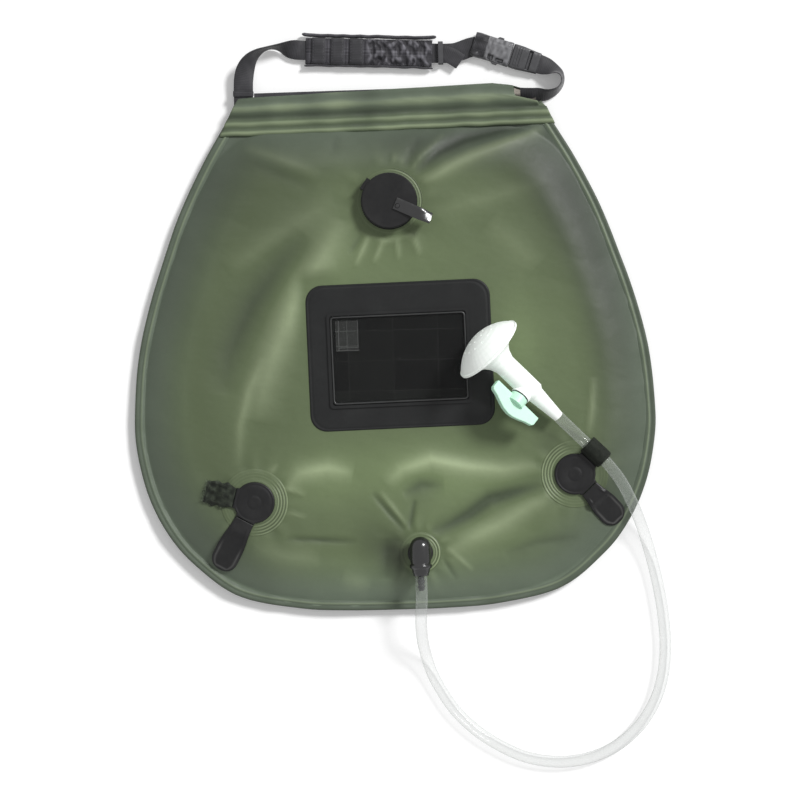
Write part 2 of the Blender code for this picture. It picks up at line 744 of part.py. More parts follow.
def hem_outline():
    """Section of the hem in (Y, Z): two lips that hold the panels' edges, and a flat sleeve above."""
    slot = CHANNEL_HALF
    lip = slot + HEM_LIP_THICKNESS
    half = HEM_THICKNESS / 2
    end = HEM_TOP - half
    fold = [(end + half * math.sin(math.pi * step / HEM_ARC_STEPS), half * math.cos(math.pi * step / HEM_ARC_STEPS))
            for step in range(HEM_ARC_STEPS + 1)]
    low = PANEL_EDGE_TOP - HEM_LIP
    outer = [(low, lip), (HEM_LIP_TOP, lip), (HEM_SLEEVE_START + half, half), *fold,
             (HEM_SLEEVE_START + half, -half), (HEM_LIP_TOP, -lip), (low, -lip), (low, -slot),
             (HEM_LIP_TOP, -slot), (HEM_LIP_TOP, slot), (low, slot)]
    return outer


def build_hem(olive, webbing):
    half = HEM_LENGTH / 2
    across = Matrix(((0, 0, 1, 0), (1, 0, 0, 0), (0, 1, 0, RIM_HEIGHT), (0, 0, 0, 1)))
    hem = add_piece("top_hem", plate_mesh("top_hem", [hem_outline()], -half, half), olive, across)
    corner = box_mesh("hem_corner_cut", (-half - OVERRUN, -half + HEM_CORNER_CUT),
                      (HEM_LIP_TOP + HEM_NECK / 2, HEM_TOP + OVERRUN), (0, BAG_THICKNESS))
    combine(hem, add_cutter("hem_corner_cut", corner, Matrix()), "DIFFERENCE")

    slot_half = HEM_SLOT_WIDTH / 2
    slot_thick = HEM_SLOT_THICKNESS / 2
    slot = box_mesh("hem_slot", (-half - OVERRUN, half + OVERRUN), (HEM_MIDDLE - slot_half, HEM_MIDDLE + slot_half),
                    (RIM_HEIGHT - slot_thick, RIM_HEIGHT + slot_thick))
    combine(hem, add_cutter("hem_slot", slot, Matrix()), "DIFFERENCE")

    low = HEM_MIDDLE - WEBBING_WIDTH / 2
    high = HEM_MIDDLE + WEBBING_WIDTH / 2
    leg_middle = LEFT_STRAP_ROUTE[0][0]
    leg_left = leg_middle - WEBBING_WIDTH / 2
    leg_right = leg_middle + WEBBING_WIDTH / 2
    stub = LEFT_STRAP_ROUTE[0][1] - GAP
    outline = [(half, low), (half, high), (leg_right, high), (leg_right, stub), (leg_left, stub),
               (leg_left, HEM_MIDDLE), (leg_middle, low)]
    run = plate_mesh("hem_webbing", [outline], RIM_HEIGHT - WEBBING_THICKNESS / 2, RIM_HEIGHT + WEBBING_THICKNESS / 2)
    add_piece("hem_webbing", run, webbing, Matrix())


def build_strap(webbing, pad, plastic):
    axis = add_axis("strap_axis", shift(0, HEM_TOP - STRAP_AXIS_SETBACK, RIM_HEIGHT))
    left = webbing_mesh("strap_left", LEFT_STRAP_ROUTE, LEFT_STRAP_EDGE_DEGREES, WEBBING_WIDTH, WEBBING_THICKNESS)
    add_piece("strap_left", left, webbing, Matrix(), axis)
    right = webbing_mesh("strap_right", RIGHT_STRAP_ROUTE, RIGHT_STRAP_EDGE_DEGREES, WEBBING_WIDTH, WEBBING_THICKNESS)
    add_piece("strap_right", right, webbing, Matrix(), axis)
    flat = [0] * len(TAIL_ROUTE)
    tail = webbing_mesh("strap_tail", TAIL_ROUTE, flat, TAIL_WIDTH, WEBBING_THICKNESS)
    add_piece("strap_tail", tail, webbing, Matrix(), axis)
    build_grip(axis, pad, webbing)
    build_keeper(axis, plastic)
    build_buckle(axis, plastic)


def build_grip(axis, pad, webbing):
    world = shift(*GRIP_CENTRE, GRIP_HEIGHT) @ turn(GRIP_TURN_DEGREES, "Z")
    half = GRIP_LENGTH / 2
    body_half = GRIP_WIDTH / 2 - GRIP_EDGE_WIDTH - GAP
    thick = GRIP_THICKNESS / 2
    body = add_piece("grip_pad", box_mesh("grip_pad", (-half, half), (-body_half, body_half), (-thick, thick)),
                     pad, world, axis)
    round_edges(body, GRIP_ROUNDING)
    slot_half = WEBBING_WIDTH / 2 + GRIP_SLOT_CLEARANCE
    slot_thick = WEBBING_THICKNESS / 2 + GRIP_SLOT_CLEARANCE
    slot = box_mesh("grip_slot", (-half - OVERRUN, half + OVERRUN), (-slot_half, slot_half), (-slot_thick, slot_thick))
    combine(body, add_cutter("grip_slot", slot, world, axis), "DIFFERENCE")
    edge_low = body_half + GAP
    edge_half = half + GRIP_EDGE_OVERHANG
    edge_thick = GRIP_EDGE_THICKNESS / 2
    for name, side in (("grip_edge_upper", 1), ("grip_edge_lower", -1)):
        span = sorted((side * edge_low, side * (edge_low + GRIP_EDGE_WIDTH)))
        mesh = box_mesh(name, (-edge_half, edge_half), span, (-edge_thick, edge_thick))
        round_edges(add_piece(name, mesh, webbing, world, axis), GRIP_ROUNDING / 2)
    for index in range(BAND_COUNT):
        middle = BAND_FIRST + index * BAND_PITCH
        name = f"grip_band_{index + 1}"
        mesh = box_mesh(name, (middle - BAND_WIDTH / 2, middle + BAND_WIDTH / 2), (-body_half, body_half),
                        (thick + GAP, thick + GAP + BAND_THICKNESS))
        add_piece(name, mesh, webbing, world, axis)


def build_keeper(axis, plastic):
    """A flat loop around the webbing and its folded tail."""
    world = shift(*KEEPER_CENTRE, KEEPER_HEIGHT) @ turn(90, "Z") @ turn(90, "X")
    inner_width = WEBBING_WIDTH + GRIP_SLOT_CLEARANCE
    outer = rounded_rectangle(inner_width + 2 * KEEPER_WALL, KEEPER_OPENING + 2 * KEEPER_WALL, KEEPER_WALL)
    inner = [(side * inner_width / 2, end * KEEPER_OPENING / 2) for side, end in ((1, 1), (-1, 1), (-1, -1), (1, -1))]
    mesh = plate_mesh("strap_keeper", [outer, inner], -KEEPER_LENGTH / 2, KEEPER_LENGTH / 2)
    add_piece("strap_keeper", mesh, plastic, world, axis)


def build_buckle(axis, plastic):
    world = shift(*BUCKLE_START, BUCKLE_HEIGHT) @ turn(BUCKLE_TURN_DEGREES, "Z")
    half = BUCKLE_WIDTH / 2
    thick = BUCKLE_THICKNESS / 2
    socket = add_piece("buckle_socket", box_mesh("buckle_socket", (0, SOCKET_LENGTH), (-half, half), (-thick, thick)),
                       plastic, world, axis)
    round_edges(socket, BUCKLE_ROUNDING)
    cavity_half = half - SOCKET_WALL
    cavity_thick = thick - SOCKET_WALL
    cavity_start = SOCKET_LENGTH - SOCKET_CAVITY_DEPTH
    cuts = {
        "socket_cavity": ((cavity_start, SOCKET_LENGTH + OVERRUN), (-cavity_half, cavity_half), (-cavity_thick, cavity_thick)),
        "socket_windows": ((WINDOW_START, WINDOW_START + WINDOW_LENGTH), (-half - OVERRUN, half + OVERRUN),
                           (-cavity_thick, cavity_thick)),
    }
    pocket_half = WEBBING_WIDTH / 2 + GRIP_SLOT_CLEARANCE
    pocket_thick = WEBBING_THICKNESS / 2 + GRIP_SLOT_CLEARANCE
    cuts["socket_pocket"] = ((-OVERRUN, WEBBING_POCKET), (-pocket_half, pocket_half), (-pocket_thick, pocket_thick))
    for name, (x, y, z) in cuts.items():
        combine(socket, add_cutter(name, box_mesh(name, x, y, z), world, axis), "DIFFERENCE")

    clip_start = SOCKET_LENGTH + GAP
    clip_end = clip_start + CLIP_LENGTH
    clip_half = CLIP_WIDTH / 2
    clip_thick = CLIP_THICKNESS / 2
    clip = add_piece("buckle_clip", box_mesh("buckle_clip", (clip_start, clip_end), (-clip_half, clip_half),
                                             (-clip_thick, clip_thick)), plastic, world, axis)
    round_edges(clip, BUCKLE_ROUNDING)
    tongue_thick = cavity_thick - GAP
    tongue = box_mesh("clip_tongue", (clip_start - TONGUE_LENGTH, clip_start + OVERRUN),
                      (-TONGUE_WIDTH / 2, TONGUE_WIDTH / 2), (-tongue_thick, tongue_thick))
    combine(clip, add_cutter("clip_tongue", tongue, world, axis), "UNION")
    slot_end = clip_end - CLIP_SLOT_SETBACK
    slot = box_mesh("clip_slot", (slot_end - CLIP_SLOT_LENGTH, slot_end), (-pocket_half, pocket_half),
                    (-clip_thick - OVERRUN, clip_thick + OVERRUN))
    combine(clip, add_cutter("clip_slot", slot, world, axis), "DIFFERENCE")
    pocket = box_mesh("clip_pocket", (clip_end - WEBBING_POCKET, clip_end + OVERRUN), (-pocket_half, pocket_half),
                      (-pocket_thick, pocket_thick))
    combine(clip, add_cutter("clip_pocket", pocket, world, axis), "DIFFERENCE")

    root = clip_start - GAP
    for name, side in (("buckle_prong_upper", 1), ("buckle_prong_lower", -1)):
        outer = cavity_half - PRONG_SETBACK
        inner = outer - PRONG_WIDTH
        tip = root - PRONG_LENGTH
        head = tip + PRONG_HEAD_LENGTH
        outline = [(root, inner), (root, outer), (head, outer), (head, outer + PRONG_HEAD_BULGE),
                   (tip + PRONG_HEAD_BULGE, outer + PRONG_HEAD_BULGE), (tip, outer), (tip, inner)]
        shape = [(x, side * y) for x, y in outline]
        pivot = world @ shift(root, side * (inner + outer) / 2, 0)
        hinge = add_axis(name + "_axis", pivot)
        hinge.parent = axis
        hinge.matrix_basis = WORLD_OF[axis.name].inverted() @ pivot
        mesh = plate_mesh(name, [shape], -PRONG_THICKNESS / 2, PRONG_THICKNESS / 2)
        round_edges(add_piece(name, mesh, plastic, world, hinge), BUCKLE_ROUNDING / 3, 1)


def build_fill_valve(pale, rubber):
    hole = FILL_BORE_RADIUS + FILL_TAIL_WALL + GAP
    add_piece("fill_weld_ring", ring_mesh("fill_weld_ring", FILL_WELD_RADIUS, hole, WELD_LOW, WELD_HIGH), pale, FILL_AT)
    base_top = FITTING_LOW + FILL_BASE_THICKNESS
    neck_top = base_top + FILL_NECK_HEIGHT
    neck = FILL_BORE_RADIUS + FILL_NECK_WALL
    tail = FILL_BORE_RADIUS + FILL_TAIL_WALL
    tail_end = PLATEAU - FILL_TAIL_LENGTH
    profile = [(neck, neck_top), (neck, base_top), (FILL_BASE_RADIUS, base_top), (FILL_BASE_RADIUS, FITTING_LOW),
               (tail, FITTING_LOW), (tail, tail_end), (FILL_BORE_RADIUS, tail_end), (FILL_BORE_RADIUS, neck_top)]
    add_piece("fill_base", turned_mesh("fill_base", profile), rubber, FILL_AT)
    backing_top = PLATEAU - FABRIC - GAP
    mesh = ring_mesh("fill_backing", tail + GAP + BACKING_WIDTH, tail + GAP, backing_top - BACKING_THICKNESS, backing_top)
    add_piece("fill_backing", mesh, rubber, FILL_AT)

    gasket_low = neck_top + GAP
    cap_low = gasket_low + GASKET_THICKNESS + GAP
    cap_top = cap_low + FILL_CAP_THICKNESS
    away = turn(TAB_DIRECTION_DEGREES + 180, "Z")
    pivot = FILL_AT @ away @ shift(FILL_AXIS_RADIUS, 0, cap_low - HINGE_DROP)
    axis = add_axis("fill_cap_axis", pivot)
    mesh = ring_mesh("fill_gasket", neck, FILL_BORE_RADIUS, gasket_low, gasket_low + GASKET_THICKNESS)
    add_piece("fill_gasket", mesh, rubber, FILL_AT, axis)
    skirt = FILL_BORE_RADIUS - FILL_SKIRT_CLEARANCE
    skirt_end = cap_low - FILL_SKIRT_DEPTH
    rounding = FILL_CAP_ROUNDING
    profile = [(0, cap_top), (FILL_CAP_RADIUS - rounding, cap_top), (FILL_CAP_RADIUS, cap_top - rounding),
               (FILL_CAP_RADIUS, cap_low), (skirt, cap_low), (skirt - FILL_SKIRT_TAPER, skirt_end),
               (skirt - FILL_SKIRT_TAPER - FILL_SKIRT_WALL, skirt_end),
               (skirt - FILL_SKIRT_TAPER - FILL_SKIRT_WALL, cap_low), (0, cap_low)]
    cap = add_piece("fill_cap", turned_mesh("fill_cap", profile), rubber, FILL_AT, axis)
    ear = box_mesh("cap_ear", (FILL_CAP_RADIUS - OVERRUN, FILL_AXIS_RADIUS), (-HINGE_STRIP_WIDTH / 2, HINGE_STRIP_WIDTH / 2),
                   (cap_low + GAP, cap_low + CAP_EAR_THICKNESS))
    combine(cap, add_cutter("cap_ear", ear, FILL_AT @ away, axis), "UNION")

    strip_high = cap_low - HINGE_DROP - GAP
    strip_x = FILL_AXIS_RADIUS - HINGE_STRIP_THICKNESS
    outline = [(FILL_BASE_RADIUS + GAP, FITTING_LOW), (FILL_AXIS_RADIUS, FITTING_LOW), (FILL_AXIS_RADIUS, strip_high),
               (strip_x, strip_high), (strip_x, FITTING_LOW + HINGE_FOOT_THICKNESS),
               (FILL_BASE_RADIUS + GAP, FITTING_LOW + HINGE_FOOT_THICKNESS)]
    mesh = plate_mesh("fill_hinge", [outline], -HINGE_STRIP_WIDTH / 2, HINGE_STRIP_WIDTH / 2)
    add_piece("fill_hinge", mesh, rubber, FILL_AT @ away @ turn(90, "X"))

    tab_world = FILL_AT @ turn(TAB_DIRECTION_DEGREES, "Z")
    tab_low = cap_top + GAP
    end = TAB_START + TAB_LENGTH
    middle = tab_low + TAB_THICKNESS / 2
    curl = end - TAB_CURL_LENGTH
    path = [(TAB_START, middle), (curl, middle), (curl + TAB_CURL_LENGTH / 2, middle + TAB_CURL_RISE / 4),
            (end, middle + TAB_CURL_RISE)]
    mesh = strip_mesh("fill_tab", path, TAB_THICKNESS, TAB_WIDTH)
    tab = add_piece("fill_tab", mesh, rubber, tab_world @ turn(90, "X"), axis)
    outline = [(x + (TAB_START + end) / 2, y) for x, y in rounded_rectangle(TAB_LENGTH, TAB_WIDTH - GAP, TAB_WIDTH / 3)]
    shape = plate_mesh("tab_outline", [outline], tab_low - OVERRUN, tab_low + TAB_CURL_RISE + OVERRUN)
    combine(tab, add_cutter("tab_outline", shape, tab_world, axis), "INTERSECT")
    stud_low = tab_low + TAB_THICKNESS + GAP
    profile = [(0, stud_low + STUD_HEIGHT), (STUD_RADIUS * 0.7, stud_low + STUD_HEIGHT * 0.75), (STUD_RADIUS, stud_low),
               (0, stud_low)]
    mesh = turned_mesh("fill_stud", profile, SMALL_STEPS)
    add_piece("fill_stud", mesh, rubber, tab_world @ shift(TAB_START + STUD_SETBACK, 0, 0), axis)


def strip_mesh(name, path, thickness, width):
    """A strip that follows a path of (x, height) points, as its side view extruded to its width."""
    upper, lower = [], []
    points = [Vector(point) for point in path]
    for index, point in enumerate(points):
        before = points[max(index - 1, 0)]
        after = points[min(index + 1, len(points) - 1)]
        along = (after - before).normalized()
        normal = Vector((-along.y, along.x)) * thickness / 2
        upper.append(point + normal)
        lower.append(point - normal)
    return plate_mesh(name, [[tuple(point) for point in lower + upper[::-1]]], -width / 2, width / 2)


def build_label(label, frame_material, clear, strip_material):
    world = shift(*LABEL_CENTRE, 0) @ turn(LABEL_TURN_DEGREES, "Z")
    low = PLATEAU + GAP
    high = low + LABEL_THICKNESS
    patch = plate_mesh("label_patch", [rounded_rectangle(LABEL_WIDTH, LABEL_DEPTH, LABEL_CORNER)], low, high)
    add_piece("label_patch", patch, label, world)
    inner_width = FRAME_WIDTH - 2 * FRAME_BAR
    inner_depth = FRAME_DEPTH - 2 * FRAME_BAR
    frame_low = high + GAP
    frame_world = world @ shift(*FRAME_OFFSET, 0)
    mesh = plate_mesh("label_frame", [rounded_rectangle(FRAME_WIDTH, FRAME_DEPTH, FRAME_CORNER),
                                      rounded_rectangle(inner_width, inner_depth, FRAME_CORNER - FRAME_BAR / 2)],
                      frame_low, frame_low + FRAME_THICKNESS)
    add_piece("label_frame", mesh, frame_material, frame_world)
    left = -inner_width / 2 + STRIP_INSET[0]
    top = inner_depth / 2 - STRIP_INSET[1]
    mesh = box_mesh("thermometer_strip", (left, left + STRIP_WIDTH), (top - STRIP_DEPTH, top),
                    (frame_low, frame_low + STRIP_THICKNESS))
    add_piece("thermometer_strip", mesh, strip_material, frame_world)
    window_low = frame_low + STRIP_THICKNESS + GAP
    outline = rounded_rectangle(inner_width - 2 * WINDOW_CLEARANCE, inner_depth - 2 * WINDOW_CLEARANCE,
                                FRAME_CORNER - FRAME_BAR / 2)
    mesh = plate_mesh("label_window", [outline], window_low, window_low + WINDOW_THICKNESS)
    add_piece("label_window", mesh, clear, frame_world)


def build_outlet(pale, rubber):
    hole = OUTLET_TAIL_RADIUS + GAP
    mesh = ring_mesh("outlet_weld_ring", OUTLET_WELD_RADIUS, hole, WELD_LOW, WELD_HIGH)
    add_piece("outlet_weld_ring", mesh, pale, OUTLET_AT)
    tail_end = PLATEAU - FILL_TAIL_LENGTH
    boss = cylinder_mesh("outlet_elbow", OUTLET_BOSS_RADIUS, FITTING_LOW, OUTLET_SPOUT_HEIGHT, ROUND_STEPS)
    elbow = add_piece("outlet_elbow", boss, rubber, OUTLET_AT)
    along = OUTLET_AT @ shift(0, 0, OUTLET_SPOUT_HEIGHT) @ turn(90, "X")
    dome = sphere_mesh("outlet_dome", OUTLET_BOSS_RADIUS - GAP, OUTLET_SPOUT_HEIGHT)
    combine(elbow, add_cutter("outlet_dome", dome, OUTLET_AT), "UNION")
    spout = cylinder_mesh("outlet_spout", OUTLET_SPOUT_RADIUS, 0, OUTLET_SPOUT_REACH, SMALL_STEPS)
    combine(elbow, add_cutter("outlet_spout", spout, along), "UNION")
    tail = cylinder_mesh("outlet_tail", OUTLET_TAIL_RADIUS, tail_end, OUTLET_SPOUT_HEIGHT)
    combine(elbow, add_cutter("outlet_tail", tail, OUTLET_AT), "UNION")
    down = cylinder_mesh("outlet_bore_down", OUTLET_BORE_RADIUS, tail_end - OVERRUN, OUTLET_SPOUT_HEIGHT)
    combine(elbow, add_cutter("outlet_bore_down", down, OUTLET_AT), "DIFFERENCE")
    out = cylinder_mesh("outlet_bore_out", OUTLET_BORE_RADIUS, -OUTLET_BORE_RADIUS / 2, OUTLET_SPOUT_REACH + OVERRUN)
    combine(elbow, add_cutter("outlet_bore_out", out, along), "DIFFERENCE")
    backing_top = PLATEAU - FABRIC - GAP
    mesh = ring_mesh("outlet_backing", hole + BACKING_WIDTH, hole, backing_top - BACKING_THICKNESS, backing_top)
    add_piece("outlet_backing", mesh, rubber, OUTLET_AT)
    start = OUTLET_SPOUT_REACH + GAP
    end = start + COLLAR_THICKNESS
    rounding = COLLAR_ROUNDING
    profile = [(COLLAR_RADIUS - rounding, end), (COLLAR_RADIUS, end - rounding), (COLLAR_RADIUS, start + rounding),
               (COLLAR_RADIUS - rounding, start), (OUTLET_BORE_RADIUS, start), (OUTLET_BORE_RADIUS, end)]
    add_piece("outlet_collar", turned_mesh("outlet_collar", profile, SMALL_STEPS), rubber, along)


DISC_LOW = FITTING_LOW
DISC_HIGH = DISC_LOW + DISC_THICKNESS
TIE_ROOT = DISC_RADIUS + GAP * 2
TIE_AXIS_RADIUS = DISC_RADIUS + GAP
TIE_AXIS_HEIGHT = DISC_HIGH + TIE_AXIS_LIFT
TIE_MIDDLE = DISC_HIGH - TIE_THICKNESS / 2


def draped_path(centre, degrees, length, width, first):
    """Side view of a tongue that lies on the bag's front from the disc outwards."""
    direction = Vector((math.cos(math.radians(degrees)), math.sin(math.radians(degrees))))
    side = Vector((-direction.y, direction.x))
    steps = max(2, round((length - TIE_ROOT) / TIE_STEP))
    path = []
    for step in range(steps + 1):
        reach = TIE_ROOT + (length - TIE_ROOT) * step / steps
        heights = []
        for part in (-0.5, 0, 0.5):
            point = centre + direction * reach + side * width * part
            heights.append(front_height(point))
        height = max(heights) + TIE_LIFT + TIE_THICKNESS / 2
        if reach < TIE_WELD_RADIUS + TIE_STEP:
            height = first
        path.append((reach, height))
    bends = [point for before, point, after in zip(path, path[1:], path[2:])
             if abs(before[1] + after[1] - point[1] * 2) > MERGE]
    return [path[0], *bends, path[-1]]


def add_tongue(name, centre, degrees, length, width, corner, rubber):
    """A strap of the hose tie, on its own axis at the disc's edge."""
    at = shift(centre.x, centre.y, 0) @ turn(degrees, "Z")
    axis = add_axis(name + "_axis", at @ shift(TIE_AXIS_RADIUS, 0, TIE_AXIS_HEIGHT))
    path = draped_path(centre, degrees, length, width, TIE_MIDDLE)
    # The strip runs on past the outline that trims it, so that no two end faces meet
    before, last = path[-2:]
    path[-1] = (last[0] + OVERRUN, last[1] + (last[1] - before[1]) * OVERRUN / (last[0] - before[0]))
    tongue = add_piece(name, strip_mesh(name, path, TIE_THICKNESS, width), rubber, at @ turn(90, "X"), axis)
    low = RIM_HEIGHT - OVERRUN
    shape = plate_mesh(name + "_outline", [tongue_outline(length, width + GAP, corner)], low, DISC_HIGH + OVERRUN)
    combine(tongue, add_cutter(name + "_outline", shape, at, axis), "INTERSECT")


def tongue_outline(length, width, corner, steps=8):
    """Plan of a tongue: square at the disc, with round corners of the given radius at its free end."""
    outline = [(TIE_ROOT - OVERRUN, -width / 2)]
    for start, side in ((-math.pi / 2, -1), (0, 1)):
        for step in range(steps + 1):
            angle = start + math.pi / 2 * step / steps
            outline.append((length - corner + corner * math.cos(angle),
                            side * (width / 2 - corner) + corner * math.sin(angle)))
    outline.append((TIE_ROOT - OVERRUN, width / 2))
    return outline


def add_loop(name, centre, degrees, rubber):
    """The short tongue of the right tie, which arches over the hose."""
    at = shift(centre.x, centre.y, 0) @ turn(degrees, "Z")
    axis = add_axis(name + "_axis", at @ shift(TIE_AXIS_RADIUS, 0, TIE_AXIS_HEIGHT))
    hose_middle = PLATEAU + LOOP_CLEARANCE + HOSE_DIAMETER / 2
    crown = hose_middle + HOSE_DIAMETER / 2 + LOOP_CLEARANCE + LOOP_THICKNESS / 2
    rest = PLATEAU + TIE_LIFT + LOOP_THICKNESS / 2
    path = [(TIE_ROOT, TIE_MIDDLE), (LOOP_REACH - LOOP_NEAR_FOOT, TIE_MIDDLE + LOOP_THICKNESS),
            (LOOP_REACH - LOOP_NEAR_SHOULDER, crown - LOOP_CROWN), (LOOP_REACH - LOOP_CROWN, crown),
            (LOOP_REACH + LOOP_CROWN, crown), (LOOP_REACH + LOOP_FAR_SHOULDER, crown - LOOP_CROWN * 1.4),
            (LOOP_REACH + LOOP_FAR_FOOT, rest + LOOP_THICKNESS / 4), (LOOP_LENGTH, rest)]
    tongue = add_piece(name, strip_mesh(name, path, LOOP_THICKNESS, SHORT_TIE_WIDTH), rubber, at @ turn(90, "X"), axis)
    round_edges(tongue, GAP, 1, 80)


def build_ties(pale, rubber):
    for side, centre in (("left", LEFT_TIE_POINT), ("right", RIGHT_TIE_POINT)):
        at = shift(centre.x, centre.y, 0)
        patch = cylinder_mesh("tie_patch_" + side, TIE_WELD_RADIUS, WELD_LOW, WELD_HIGH, ROUND_STEPS)
        add_piece("tie_patch_" + side, patch, pale, at)
        rounding = DISC_ROUNDING
        profile = [(0, DISC_HIGH), (DISC_RADIUS - rounding, DISC_HIGH), (DISC_RADIUS, DISC_HIGH - rounding),
                   (DISC_RADIUS, DISC_LOW), (0, DISC_LOW)]
        add_piece("tie_disc_" + side, turned_mesh("tie_disc_" + side, profile), rubber, at)
    left = LEFT_TIE_POINT.xy
    right = RIGHT_TIE_POINT.xy
    long_corner = LONG_TIE_WIDTH / 2 - LONG_TIE_FLAT
    add_tongue("long_tongue_left", left, LEFT_LONG_DEGREES, LEFT_LONG_LENGTH, LONG_TIE_WIDTH, long_corner, rubber)
    add_tongue("long_tongue_right", right, RIGHT_LONG_DEGREES, RIGHT_LONG_LENGTH, LONG_TIE_WIDTH, long_corner, rubber)
    add_tongue("short_tongue_left", left, LEFT_SHORT_DEGREES, LEFT_SHORT_LENGTH, SHORT_TIE_WIDTH, SHORT_TIE_CORNER, rubber)
    add_loop("short_tongue_right", right, RIGHT_SHORT_DEGREES, rubber)


LABEL_TOP = PLATEAU + GAP + LABEL_THICKNESS
HEAD_REST = LABEL_TOP + GAP
RIM_BAND = ROSE_LENGTH * ROSE_BELL_SHARES[1][1]
HEAD_CENTRE_HEIGHT = (HEAD_REST + ROSE_RADIUS * math.cos(math.radians(HEAD_TILT_DEGREES))
                      + RIM_BAND * math.sin(math.radians(HEAD_TILT_DEGREES)))
# The head's own axes: Z runs from the spray face to the hose, X points down left across the bag
HEAD_AT = (shift(*HEAD_RIM_CENTRE, HEAD_CENTRE_HEIGHT) @ turn(HEAD_DIRECTION_DEGREES, "Z")
           @ turn(HEAD_TILT_DEGREES, "Y") @ turn(90, "Y") @ turn(-90, "Z"))
HEAD_LENGTH = ROSE_LENGTH + GAP + TAP_BODY_LENGTH + TAP_SPOUT_LENGTH


def offset_inwards(profile, distance):
    """A profile drawn in by a wall's thickness, square to its own course."""
    points = [Vector(point) for point in profile]
    result = []
    for index, point in enumerate(points):
        along = (points[min(index + 1, len(points) - 1)] - points[max(index - 1, 0)]).normalized()
        result.append(tuple(point - Vector((along.y, -along.x)) * distance))
    return result


def build_head(white, green, rubber):
    reach = ROSE_RADIUS - ROSE_NECK_RADIUS
    outer = [(ROSE_NECK_RADIUS + reach * across, ROSE_LENGTH * along) for across, along in ROSE_BELL_SHARES]
    inner = offset_inwards(outer, ROSE_WALL)
    profile = outer[::-1] + inner
    add_piece("rose_shell", turned_mesh("rose_shell", profile), white, HEAD_AT)

    dome_radius = (SPRAY_RADIUS ** 2 + SPRAY_RISE ** 2) / (2 * SPRAY_RISE)
    outside, inside = [], []
    for radius, points in ((dome_radius, outside), (dome_radius - SPRAY_THICKNESS, inside)):
        spread = math.acos((dome_radius - SPRAY_RISE) / radius)
        for step in range(SPRAY_ARC_STEPS + 1):
            angle = spread * step / SPRAY_ARC_STEPS
            points.append((radius * math.sin(angle), dome_radius - SPRAY_RISE - radius * math.cos(angle)))
    base = -GAP
    profile = [(radius, height + base) for radius, height in inside + outside[::-1]]
    plate = add_piece("spray_plate", turned_mesh("spray_plate", profile), white, HEAD_AT)
    holes, places = [], []
    for ring in range(SPRAY_RINGS):
        for index in range(max(1, ring * HOLES_PER_RING)):
            angle = 2 * math.pi * index / max(1, ring * HOLES_PER_RING)
            radius = ring * SPRAY_RING_PITCH
            holes.append(cylinder_mesh("hole", SPRAY_HOLE_RADIUS, -SPRAY_RISE - OVERRUN, 0, 8))
            places.append(shift(radius * math.cos(angle), radius * math.sin(angle), 0))
    mesh = joined_mesh("spray_holes", holes, places)
    combine(plate, add_cutter("spray_holes", mesh, HEAD_AT), "DIFFERENCE")
    build_tap(white, green, rubber)


def build_tap(white, green, rubber):
    start = ROSE_LENGTH + GAP
    shoulder = start + TAP_BODY_LENGTH
    end = shoulder + TAP_SPOUT_LENGTH
    profile = [(TAP_SPOUT_TIP, end), (TAP_BORE_RADIUS, end), (TAP_BORE_RADIUS, start), (TAP_BODY_RADIUS, start),
               (TAP_BODY_RADIUS, shoulder - OVERRUN), (TAP_SPOUT_SHOULDER, shoulder)]
    body = add_piece("tap_body", turned_mesh("tap_body", profile[::-1]), white, HEAD_AT)
    stem = HEAD_AT @ shift(0, 0, TAP_AXIS_ALONG) @ turn(TAP_ROLL_DEGREES, "Z") @ turn(90, "Y")
    boss = cylinder_mesh("tap_boss", TAP_BOSS_RADIUS, 0, TAP_BOSS_REACH)
    combine(body, add_cutter("tap_boss", boss, stem), "UNION")
    bore = cylinder_mesh("plug_bore", PLUG_RADIUS + PLUG_CLEARANCE, -PLUG_DEPTH - GAP, TAP_BOSS_REACH + OVERRUN)
    combine(body, add_cutter("plug_bore", bore, stem), "DIFFERENCE")

    axis = add_axis("tap_axis", stem)
    washer_low = TAP_BOSS_REACH + GAP
    handle_low = washer_low + WASHER_THICKNESS + GAP
    plug = add_piece("tap_plug", cylinder_mesh("tap_plug", PLUG_RADIUS, -PLUG_DEPTH, handle_low - GAP), green, stem, axis)
    water_way = cylinder_mesh("plug_water_way", TAP_BORE_RADIUS, -PLUG_RADIUS - OVERRUN, PLUG_RADIUS + OVERRUN)
    combine(plug, add_cutter("plug_water_way", water_way, stem @ turn(-90, "Y"), axis), "DIFFERENCE")
    mesh = ring_mesh("tap_washer", WASHER_RADIUS, PLUG_RADIUS + GAP, washer_low, washer_low + WASHER_THICKNESS, SMALL_STEPS)
    add_piece("tap_washer", mesh, rubber, stem, axis)

    wing_low = handle_low + HANDLE_STEM_LENGTH
    half = HANDLE_LENGTH / 2
    swell = HANDLE_MIDDLE_WIDTH - HANDLE_END_WIDTH
    outline = [(half, wing_low), (half, wing_low + HANDLE_END_WIDTH * 0.8)]
    steps = 8
    for step in range(steps + 1):
        share = 1 - 2 * step / steps
        rise = HANDLE_END_WIDTH + swell * math.cos(share * math.pi / 2) ** 1.5
        outline.append((half * share * 0.94, wing_low + rise))
    outline += [(-half, wing_low + HANDLE_END_WIDTH * 0.8), (-half, wing_low)]
    wing = plate_mesh("tap_handle", [outline], -HANDLE_THICKNESS / 2, HANDLE_THICKNESS / 2)
    handle = add_piece("tap_handle", wing, green, stem @ turn(90, "X"), axis)
    round_edges(handle, HANDLE_ROUNDING)
    hub = cylinder_mesh("handle_stem", HANDLE_STEM_RADIUS, handle_low, wing_low + HANDLE_END_WIDTH / 2)
    combine(handle, add_cutter("handle_stem", hub, stem, axis), "UNION")


